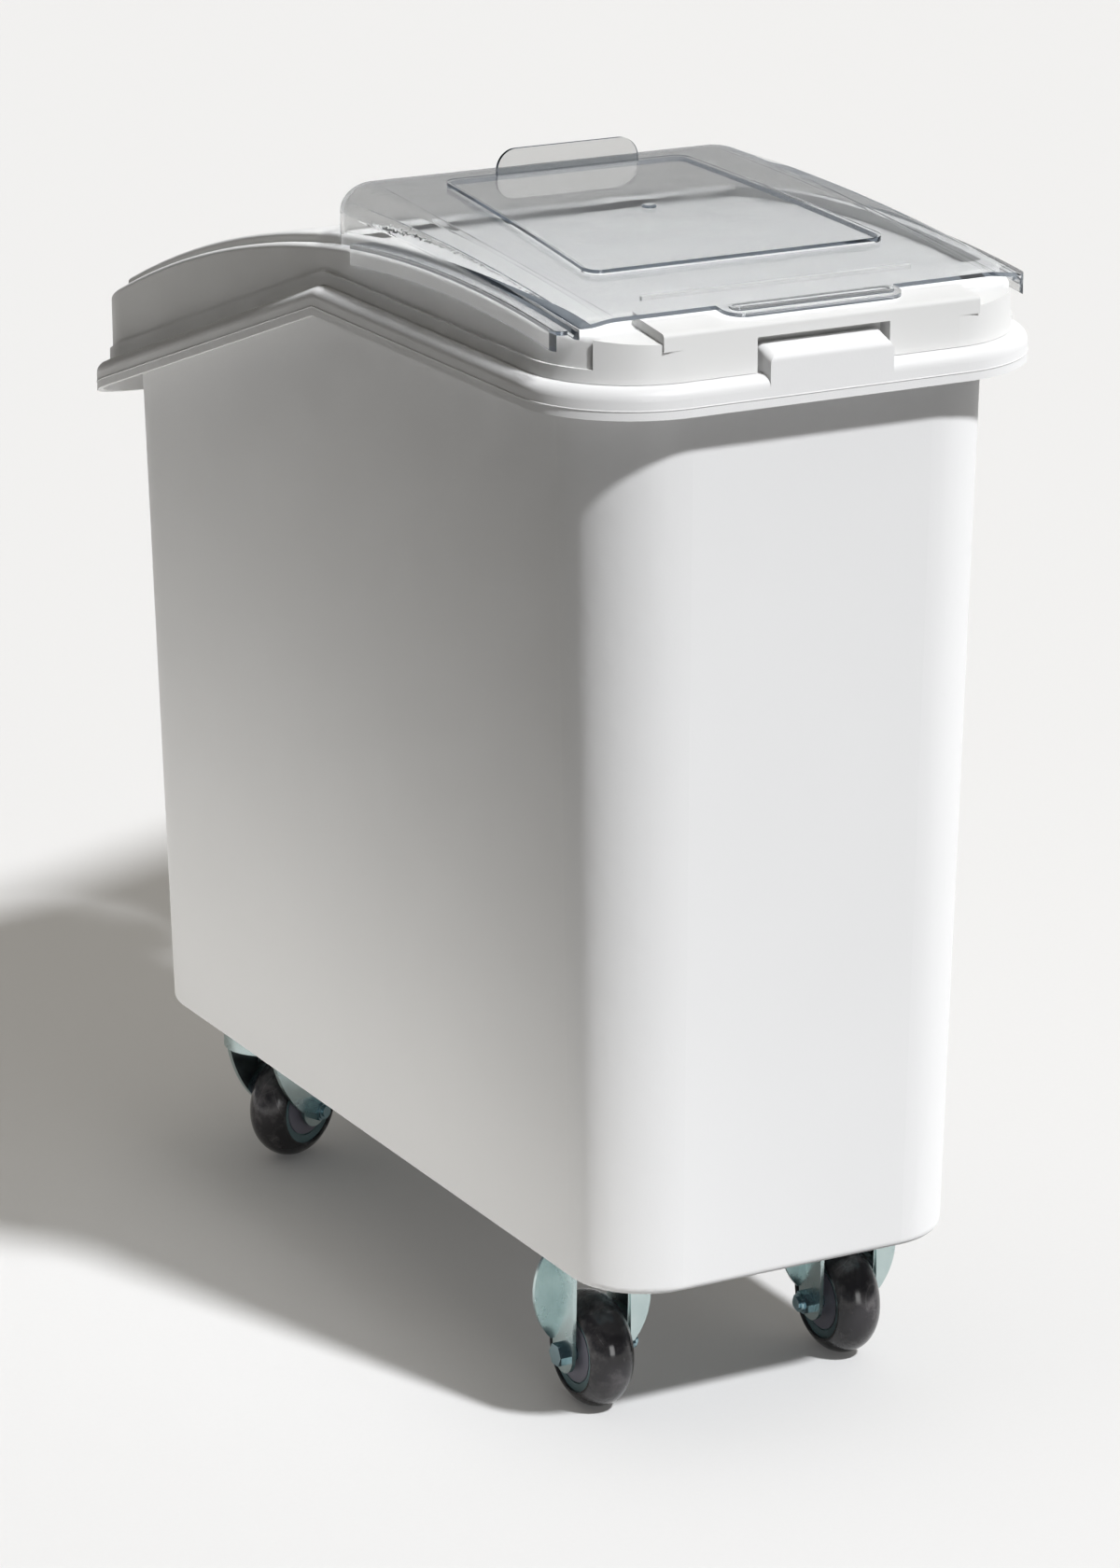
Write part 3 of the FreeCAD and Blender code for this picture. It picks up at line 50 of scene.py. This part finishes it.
def add(tree, kind, inputs=None, **settings):
    """Adds a node, makes its settings, and fills its inputs with values or links."""
    node = tree.nodes.new(kind)
    for name, value in settings.items():
        setattr(node, name, value)
    for socket, value in (inputs or {}).items():
        if isinstance(value, bpy.types.NodeSocket):
            tree.links.new(value, node.inputs[socket])
        else:
            node.inputs[socket].default_value = value
    return node


def new_material(name):
    """An empty node material."""
    material = bpy.data.materials.new(name)
    material.use_nodes = True
    material.node_tree.nodes.clear()
    return material, material.node_tree


def dress(material, *names):
    """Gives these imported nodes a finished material."""
    for name in names:
        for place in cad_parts[name].material_slots:
            place.material = material


def moulded_plastic(name, light, dark, rough, peel, wander):
    """A pigmented moulding: a slow drift of tone, skin that varies in gloss, orange peel
    of about a millimetre and a wall that wanders over a hand's breadth."""
    material, tree = new_material(name)
    place = add(tree, "ShaderNodeTexCoord").outputs["Object"]
    drift = add(tree, "ShaderNodeTexNoise",
                {"Vector": place, "Scale": 5.0, "Detail": 3.0, "Roughness": 0.55})
    tone = add(tree, "ShaderNodeMix",
               {0: drift.outputs["Fac"], 6: colour(light), 7: colour(dark)}, data_type="RGBA")
    smear = add(tree, "ShaderNodeTexNoise",
                {"Vector": place, "Scale": 28.0, "Detail": 4.0, "Roughness": 0.6})
    gloss = add(tree, "ShaderNodeMapRange",
                {"Value": smear.outputs["Fac"], "From Min": 0.3, "From Max": 0.7,
                 "To Min": rough - 0.05, "To Max": rough + 0.06})
    skin = add(tree, "ShaderNodeTexNoise",
               {"Vector": place, "Scale": 700.0, "Detail": 1.0})
    wave = add(tree, "ShaderNodeTexNoise",
               {"Vector": place, "Scale": 9.0, "Detail": 0.0})
    wavy = add(tree, "ShaderNodeBump",
               {"Height": wave.outputs["Fac"], "Distance": wander, "Strength": 1.0})
    peeled = add(tree, "ShaderNodeBump",
                 {"Height": skin.outputs["Fac"], "Distance": peel, "Strength": 1.0,
                  "Normal": wavy.outputs["Normal"]})
    shader = add(tree, "ShaderNodeBsdfPrincipled",
                 {"Base Color": tone.outputs[2], "Roughness": gloss.outputs["Result"],
                  "IOR": 1.51, "Diffuse Roughness": 1.0,
                  "Normal": peeled.outputs["Normal"]})
    add(tree, "ShaderNodeOutputMaterial", {"Surface": shader.outputs["BSDF"]})
    return material


# Rotomoulded polyethylene is satin, so the light rolls softly over the tub's corners.
tub_skin = moulded_plastic("rotomoulded_white_polyethylene", "#E9E9E9", "#E4E4E4",
                           rough=0.46, peel=0.00003, wander=0.0006)
dress(tub_skin, "tub")


# Parting line: the fine ridge that the halves of the tub's mould leave round the rim, a little
# above its lower edge. It draws a thin light line along the white rim. The path is level round
# the front, bends at the middle of the sides and falls with the rim to the back.
rim_half_width, rim_half_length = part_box("tub")[1][0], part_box("tub")[1][1]
rim_corner = 0.073
rim_bend = -0.023
rim_slope = 0.3475
ridge_level = 0.6575
ridge_rise = 0.0004
corner_steps = 16


def corner_path(side_x, side_y, first_angle):
    """The ridge round one corner of the rim, counterclockwise seen from above."""
    points = []
    for step in range(corner_steps + 1):
        angle = math.radians(first_angle + 90.0 * step / corner_steps)
        x = side_x * (rim_half_width - rim_corner) + rim_corner * math.cos(angle)
        y = side_y * (rim_half_length - rim_corner) + rim_corner * math.sin(angle)
        points.append((x, y, ridge_level - rim_slope * max(0.0, y - rim_bend)))
    return points


ridge_points = (corner_path(1, -1, -90.0) + [(rim_half_width, rim_bend, ridge_level)]
                + corner_path(1, 1, 0.0) + corner_path(-1, 1, 90.0)
                + [(-rim_half_width, rim_bend, ridge_level)] + corner_path(-1, -1, 180.0))
ridge_edges = [(index, (index + 1) % len(ridge_points)) for index in range(len(ridge_points))]
ridge_path = bpy.data.meshes.new("ridge_path")
ridge_path.from_pydata(ridge_points, ridge_edges, [])
ridge_tree = bpy.data.node_groups.new("mould_ridge", "GeometryNodeTree")
sockets = ridge_tree.interface
sockets.new_socket("Geometry", in_out="INPUT", socket_type="NodeSocketGeometry")
ridge_radius = sockets.new_socket("Ridge Radius", in_out="INPUT", socket_type="NodeSocketFloat")
ridge_skin = sockets.new_socket("Ridge Material", in_out="INPUT",
                                socket_type="NodeSocketMaterial")
sockets.new_socket("Geometry", in_out="OUTPUT", socket_type="NodeSocketGeometry")
given = ridge_tree.nodes.new("NodeGroupInput")
along = add(ridge_tree, "GeometryNodeMeshToCurve", {"Mesh": given.outputs["Geometry"]})
ring = add(ridge_tree, "GeometryNodeCurvePrimitiveCircle",
           {"Resolution": 10, "Radius": given.outputs["Ridge Radius"]})
bead = add(ridge_tree, "GeometryNodeCurveToMesh",
           {"Curve": along.outputs["Curve"], "Profile Curve": ring.outputs["Curve"]})
smooth = add(ridge_tree, "GeometryNodeSetShadeSmooth", {"Geometry": bead.outputs["Mesh"]})
solid = add(ridge_tree, "GeometryNodeRealizeInstances",
            {"Geometry": smooth.outputs["Geometry"]})
dressed = add(ridge_tree, "GeometryNodeSetMaterial",
              {"Geometry": solid.outputs["Geometry"],
               "Material": given.outputs["Ridge Material"]})
add(ridge_tree, "NodeGroupOutput", {"Geometry": dressed.outputs["Geometry"]})
draft = bpy.data.objects.new("ridge_draft", ridge_path)
bpy.context.scene.collection.objects.link(draft)
raised = draft.modifiers.new("ridge", "NODES")
raised.node_group = ridge_tree
raised[ridge_radius.identifier] = ridge_rise
raised[ridge_skin.identifier] = tub_skin
ridge_mesh = bpy.data.meshes.new_from_object(
    draft.evaluated_get(bpy.context.evaluated_depsgraph_get()))
bpy.data.objects.remove(draft)
rim_ridge = bpy.data.objects.new("rim_parting_line", ridge_mesh)
bpy.context.scene.collection.objects.link(rim_ridge)
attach(rim_ridge, "tub_body")


# Lid frame and inner panel: injection moulded white polypropylene. A polished tool makes it
# smoother than the tub, so its edges catch crisper lights.
frame_skin = moulded_plastic("moulded_white_polypropylene", "#E3E3E2", "#DFDFDE",
                             rough=0.38, peel=0.00001, wander=0.0002)
dress(frame_skin, "lid_frame", "inner_panel")


# Clear cover: one injection moulding in clear styrene acrylonitrile, 2 to 3 mm thick.
# The resin has a faint smoke blue, which hardly shows through a wall but turns every edge,
# where the eye looks along the sheet, into a darker blue grey line.
cover_glass, tree = new_material("clear_styrene_acrylonitrile")
place = add(tree, "ShaderNodeTexCoord").outputs["Object"]
wipe = add(tree, "ShaderNodeTexNoise",
           {"Vector": place, "Scale": 14.0, "Detail": 5.0, "Roughness": 0.65})
haze = add(tree, "ShaderNodeMapRange",
           {"Value": wipe.outputs["Fac"], "From Min": 0.35, "From Max": 0.75,
            "To Min": 0.015, "To Max": 0.06})
ripple = add(tree, "ShaderNodeTexNoise", {"Vector": place, "Scale": 24.0, "Detail": 1.0})
ripples = add(tree, "ShaderNodeBump",
              {"Height": ripple.outputs["Fac"], "Distance": 0.0002, "Strength": 1.0})
clear = add(tree, "ShaderNodeBsdfPrincipled",
            {"Base Color": colour("#E1E1E0"), "Roughness": haze.outputs["Result"],
             "IOR": 1.57, "Transmission Weight": 1.0, "Normal": ripples.outputs["Normal"]})
# Light caught inside the sheet leaves it at the folds and edges, a little bluer.
path = add(tree, "ShaderNodeLightPath")
turns_inside = 4.5
caught = add(tree, "ShaderNodeMath", {0: path.outputs["Ray Depth"], 1: turns_inside},
             operation="GREATER_THAN")
leaves = add(tree, "ShaderNodeBsdfTransparent", {"Color": colour("#CAD1D8")})
wall = add(tree, "ShaderNodeMixShader",
           {0: caught.outputs["Value"], 1: clear.outputs["BSDF"], 2: leaves.outputs["BSDF"]})
lets_sun = add(tree, "ShaderNodeBsdfTransparent", {"Color": colour("#E8E8E8")})
sheet = add(tree, "ShaderNodeMixShader",
            {0: path.outputs["Is Shadow Ray"], 1: wall.outputs["Shader"],
             2: lets_sun.outputs["BSDF"]})
smoke = add(tree, "ShaderNodeVolumeAbsorption", {"Color": colour("#8E9EB4"), "Density": 10.0})
add(tree, "ShaderNodeOutputMaterial",
    {"Surface": sheet.outputs["Shader"], "Volume": smoke.outputs["Volume"]})
dress(cover_glass, "clear_cover")


# Caster treads: cast polyurethane, smoky and slightly clear, with a crowned face that
# shines. Floor dust has clouded it in patches, and grit has left a few pale scratches.
wheels = ["front_left", "front_right", "rear_left", "rear_right"]
tread_skin, tree = new_material("cast_smoky_polyurethane")
place = add(tree, "ShaderNodeTexCoord").outputs["Object"]
cloud = add(tree, "ShaderNodeTexNoise",
            {"Vector": place, "Scale": 60.0, "Detail": 5.0, "Roughness": 0.6})
dusty = add(tree, "ShaderNodeMapRange",
            {"Value": cloud.outputs["Fac"], "From Min": 0.48, "From Max": 0.75,
             "To Min": 0.0, "To Max": 1.0})
smoked = add(tree, "ShaderNodeMix",
             {0: dusty.outputs["Result"], 6: colour("#343235"), 7: colour("#6E6B6C")},
             data_type="RGBA")
stretch = add(tree, "ShaderNodeMapping", {"Vector": place, "Rotation": (0.5, 0.3, 0.8),
                                          "Scale": (30.0, 160.0, 60.0)})
cracks = add(tree, "ShaderNodeTexVoronoi", {"Vector": stretch.outputs["Vector"], "Scale": 0.6},
             feature="DISTANCE_TO_EDGE")
lines = add(tree, "ShaderNodeMapRange",
            {"Value": cracks.outputs["Distance"], "From Min": 0.0, "From Max": 0.012,
             "To Min": 0.5, "To Max": 0.0})
some = add(tree, "ShaderNodeMath", {0: lines.outputs["Result"], 1: dusty.outputs["Result"]},
           operation="MULTIPLY")
scratched = add(tree, "ShaderNodeMix",
                {0: some.outputs["Value"], 6: smoked.outputs[2], 7: colour("#A8A8A8")},
                data_type="RGBA")
shine = add(tree, "ShaderNodeMapRange",
            {"Value": cloud.outputs["Fac"], "From Min": 0.4, "From Max": 0.75,
             "To Min": 0.10, "To Max": 0.30})
shader = add(tree, "ShaderNodeBsdfPrincipled",
             {"Base Color": scratched.outputs[2], "Roughness": shine.outputs["Result"],
              "IOR": 1.5})
add(tree, "ShaderNodeOutputMaterial", {"Surface": shader.outputs["BSDF"]})
dress(tread_skin, *["tread_" + wheel for wheel in wheels])


# Wheel cores and centre discs: glass-filled nylon cores in a teal grey, with polypropylene
# dust covers in a warmer violet grey snapped over the hub.
core_skin = moulded_plastic("moulded_teal_grey_nylon", "#7E9A9E", "#708C91",
                            rough=0.42, peel=0.00004, wander=0.0)
dress(core_skin, *["wheel_core_" + wheel for wheel in wheels])
disc_skin = moulded_plastic("moulded_violet_grey_polypropylene", "#A09EAC", "#92909E",
                            rough=0.35, peel=0.00002, wander=0.0)
dress(disc_skin, *["dust_covers_" + wheel for wheel in wheels])
hub_skin = moulded_plastic("moulded_black_acetal", "#232326", "#1C1C1F",
                           rough=0.35, peel=0.00002, wander=0.0)
dress(hub_skin, *["bearing_" + wheel for wheel in wheels])


# Forks, plates and fastenings: pressed and turned mild steel, zinc plated and blue passivated.
# The bath leaves a cool blue cast that drifts over the surface, and the press a fine grain.
def plated_steel(name, light, dark, rough):
    """Bright zinc: a blue cast that drifts, gloss that varies, and fine tool marks."""
    material, tree = new_material(name)
    place = add(tree, "ShaderNodeTexCoord").outputs["Object"]
    bath = add(tree, "ShaderNodeTexNoise",
               {"Vector": place, "Scale": 45.0, "Detail": 4.0, "Roughness": 0.6})
    cast = add(tree, "ShaderNodeMix",
               {0: bath.outputs["Fac"], 6: colour(light), 7: colour(dark)}, data_type="RGBA")
    gloss = add(tree, "ShaderNodeMapRange",
                {"Value": bath.outputs["Fac"], "From Min": 0.3, "From Max": 0.7,
                 "To Min": rough - 0.06, "To Max": rough + 0.08})
    grain = add(tree, "ShaderNodeMapping", {"Vector": place, "Scale": (900.0, 900.0, 120.0)})
    marks = add(tree, "ShaderNodeTexNoise", {"Vector": grain.outputs["Vector"], "Scale": 1.0})
    marked = add(tree, "ShaderNodeBump",
                 {"Height": marks.outputs["Fac"], "Distance": 0.00002, "Strength": 1.0})
    shader = add(tree, "ShaderNodeBsdfPrincipled",
                 {"Base Color": cast.outputs[2], "Metallic": 1.0,
                  "Roughness": gloss.outputs["Result"], "Normal": marked.outputs["Normal"]})
    add(tree, "ShaderNodeOutputMaterial", {"Surface": shader.outputs["BSDF"]})
    return material


pressed_zinc = plated_steel("blue_passivated_pressed_steel", "#D6E2E0", "#A2B8B9", rough=0.24)
turned_zinc = plated_steel("blue_passivated_fasteners", "#B4CCD2", "#86A4AE", rough=0.18)
dress(pressed_zinc, "rigid_fork_front_left", "rigid_fork_front_right",
      "swivel_fork_rear_left", "swivel_fork_rear_right",
      "swivel_plate_rear_left", "swivel_plate_rear_right")
dress(turned_zinc, "rigid_axle_sleeves", "rigid_axle_bolts", "rigid_axle_nuts", "king_pins",
      "caster_bolts", "caster_washers", "caster_nuts",
      "axle_sleeve_rear_left", "axle_sleeve_rear_right", "axle_bolt_rear_left",
      "axle_bolt_rear_right", "axle_nut_rear_left", "axle_nut_rear_right")
ball_steel = plated_steel("polished_bearing_steel", "#D4D6D8", "#C6C9CC", rough=0.14)
dress(ball_steel, "swivel_balls_rear_left", "swivel_balls_rear_right")


# Studio: a seamless pale sweep, a small hard lamp high in front and to the right, and a room
# that is open and pale on the right and behind, and dark on the left. The eye sees the sweep
# nearly white, straight or through the clear cover, but little light bounces off it.
def seen_by_eye(tree, path, *rays):
    """1 where the eye looks at this, by these rays or through the clear cover, and else 0."""
    seen_through = add(tree, "ShaderNodeMath",
                       {0: path.outputs["Is Transmission Ray"],
                        1: path.outputs["Diffuse Depth"]},
                       operation="SUBTRACT", use_clamp=True)
    answer = seen_through.outputs["Value"]
    for ray in rays:
        either = add(tree, "ShaderNodeMath", {0: answer, 1: path.outputs[ray]},
                     operation="MAXIMUM")
        answer = either.outputs["Value"]
    return answer


sweep_half = 14.0
sweep_mesh = bpy.data.meshes.new("sweep")
shape = bmesh.new()
bmesh.ops.create_grid(shape, x_segments=1, y_segments=1, size=sweep_half)
shape.to_mesh(sweep_mesh)
shape.free()
sweep = bpy.data.objects.new("sweep", sweep_mesh)
bpy.context.scene.collection.objects.link(sweep)
paper, tree = new_material("matt_paper_sweep")
place = add(tree, "ShaderNodeTexCoord").outputs["Object"]
fibre = add(tree, "ShaderNodeTexNoise", {"Vector": place, "Scale": 300.0, "Detail": 2.0})
seen = add(tree, "ShaderNodeMix",
           {0: fibre.outputs["Fac"], 6: colour("#D8D8D8"), 7: colour("#D6D6D6")},
           data_type="RGBA")
direct = seen_by_eye(tree, add(tree, "ShaderNodeLightPath"), "Is Camera Ray", "Is Glossy Ray")
bounce = add(tree, "ShaderNodeMix",
             {0: direct, 6: colour("#373737"), 7: seen.outputs[2]}, data_type="RGBA")
matt = add(tree, "ShaderNodeBsdfDiffuse", {"Color": bounce.outputs[2]})
veil = add(tree, "ShaderNodeMath", {0: direct, 1: 0.045}, operation="MULTIPLY")
lift = add(tree, "ShaderNodeEmission", {"Color": colour("#FFFFFF"),
                                        "Strength": veil.outputs["Value"]})
shader = add(tree, "ShaderNodeAddShader", {0: matt.outputs["BSDF"], 1: lift.outputs["Emission"]})
add(tree, "ShaderNodeOutputMaterial", {"Surface": shader.outputs["Shader"]})
sweep_mesh.materials.append(paper)

# The hard lamp stands this far to the right and in front for each metre of its height.
sun_run_x, sun_run_y = 0.235, -0.80
sun_from = Vector((sun_run_x, sun_run_y, 1.0)).normalized()
key = bpy.data.lights.new("key", "SUN")
key.energy = 3.7
key.color = colour("#FCFDFF")[:3]
key.angle = math.radians(4.5)
key_lamp = bpy.data.objects.new("key", key)
key_lamp.rotation_euler = sun_from.to_track_quat("Z", "Y").to_euler()
bpy.context.scene.collection.objects.link(key_lamp)

# A wide soft panel low in front opens the shade under the rim.
fill = bpy.data.lights.new("front_panel", "AREA")
fill.shape = "SQUARE"
fill.size = 0.8
fill.energy = 9.5
fill_lamp = bpy.data.objects.new("front_panel", fill)
fill_at = Vector((-0.25, -2.6, 0.5))
front_wall = Vector((0.0, -0.35, 0.4))
fill_lamp.location = fill_at
fill_lamp.rotation_euler = (fill_at - front_wall).to_track_quat("Z", "Y").to_euler()
fill_lamp.visible_camera = False
fill_lamp.visible_transmission = False
bpy.context.scene.collection.objects.link(fill_lamp)

# A black flag high behind the bin widens its shadow on the floor, as in the photograph.
flag_level = 1.0
flag_shade = [(0.025, 0.62), (0.25, 0.62), (0.25, 0.949),
              (-0.06, 0.828), (-0.06, 0.80), (0.025, 0.80)]
flag_mesh = bpy.data.meshes.new("flag")
flag_mesh.from_pydata([(x + flag_level * sun_run_x, y + flag_level * sun_run_y, flag_level)
                       for x, y in flag_shade], [], [tuple(range(len(flag_shade)))])
flag = bpy.data.objects.new("flag", flag_mesh)
bpy.context.scene.collection.objects.link(flag)
felt, tree = new_material("black_felt")
shader = add(tree, "ShaderNodeBsdfDiffuse", {"Color": colour("#101010")})
add(tree, "ShaderNodeOutputMaterial", {"Surface": shader.outputs["BSDF"]})
flag_mesh.materials.append(felt)
flag.visible_camera = flag.visible_diffuse = flag.visible_glossy = False
flag.visible_transmission = False

# The lit floor beside the shadow throws light up the shaded side, most at its foot.
card_low, card_high = (-0.65, -0.50), (-0.20, 1.40)
card_level = 0.004
card_light = 2.45
card = bpy.data.lights.new("floor_bounce", "AREA")
card.shape = "RECTANGLE"
card.size = card_high[0] - card_low[0]
card.size_y = card_high[1] - card_low[1]
card.energy = card_light * math.pi * card.size * card.size_y
card.color = colour("#FFFDF9")[:3]
card_lamp = bpy.data.objects.new("floor_bounce", card)
card_lamp.location = ((card_low[0] + card_high[0]) / 2,
                      (card_low[1] + card_high[1]) / 2, card_level)
card_lamp.rotation_euler = (math.pi, 0.0, 0.0)
card_lamp.visible_camera = False
card_lamp.visible_transmission = False
card_lamp.visible_glossy = False
bpy.context.scene.collection.objects.link(card_lamp)

# The room behind all this: a white backdrop for the eye, a soft glow from the open side for
# the surfaces, and a dim grey band for what mirrors it.
world = bpy.data.worlds.new("studio")
bpy.context.scene.world = world
world.use_nodes = True
tree = world.node_tree
tree.nodes.clear()
path = add(tree, "ShaderNodeLightPath")
backdrop = add(tree, "ShaderNodeBackground", {"Color": colour("#F2F2F2"), "Strength": 1.0})
sky = add(tree, "ShaderNodeTexCoord").outputs["Generated"]
toward_open_side = (0.50, 0.48, 0.72)
open_side = add(tree, "ShaderNodeVectorMath", {0: sky, 1: toward_open_side},
                operation="DOT_PRODUCT")
glow = add(tree, "ShaderNodeMapRange",
           {"Value": open_side.outputs["Value"], "From Min": -0.2, "From Max": 1.0,
            "To Min": 0.0, "To Max": 0.62})
room = add(tree, "ShaderNodeBackground", {"Color": colour("#FFF9EE"),
                                          "Strength": glow.outputs["Result"]})
level = add(tree, "ShaderNodeSeparateXYZ", {"Vector": sky})
climb = add(tree, "ShaderNodeMapRange",
            {"Value": level.outputs["Z"], "From Min": 0.05, "From Max": 0.35,
             "To Min": 0.0, "To Max": 1.0})
ceiling = add(tree, "ShaderNodeMix",
              {0: climb.outputs["Result"], 6: colour("#85898E"), 7: colour("#3E4247")},
              data_type="RGBA")
mirrored = add(tree, "ShaderNodeBackground", {"Color": ceiling.outputs[2], "Strength": 1.0})
plain = add(tree, "ShaderNodeMixShader",
            {0: path.outputs["Is Glossy Ray"], 1: room.outputs["Background"],
             2: mirrored.outputs["Background"]})
both = add(tree, "ShaderNodeMixShader",
           {0: seen_by_eye(tree, path, "Is Camera Ray"), 1: plain.outputs["Shader"],
            2: backdrop.outputs["Background"]})
add(tree, "ShaderNodeOutputWorld", {"Surface": both.outputs["Shader"]})
bpy.context.scene.view_settings.view_transform = "Standard"


# Camera: a long lens, a little above the bin and off its front left corner. Its place comes
# from matching the bin's edges in the 1200 by 1680 photograph.
picture_height = 1680.0
focal_pixels = 6183.4
azimuth = math.radians(-28.239)
elevation = math.radians(17.358)
roll = math.radians(-0.169)
reach = 3.7054
aim_side, aim_height = 0.01564, 0.32165
back = Vector((math.sin(azimuth) * math.cos(elevation),
               -math.cos(azimuth) * math.cos(elevation), math.sin(elevation)))
across = Vector((math.cos(azimuth), math.sin(azimuth), 0.0))
upright = back.cross(across)
right = across * math.cos(roll) + upright * math.sin(roll)
top = upright * math.cos(roll) - across * math.sin(roll)
stand = across * aim_side + Vector((0.0, 0.0, aim_height)) + back * reach
lens = bpy.data.cameras.new("camera")
lens.sensor_width = 36.0
lens.lens = lens.sensor_width * focal_pixels / picture_height
lens.clip_start = 0.1
lens.clip_end = 60.0
camera = bpy.data.objects.new("camera", lens)
camera.matrix_world = Matrix((
    (right.x, top.x, back.x, stand.x),
    (right.y, top.y, back.y, stand.y),
    (right.z, top.z, back.z, stand.z),
    (0.0, 0.0, 0.0, 1.0)))
bpy.context.scene.collection.objects.link(camera)
bpy.context.scene.camera = camera
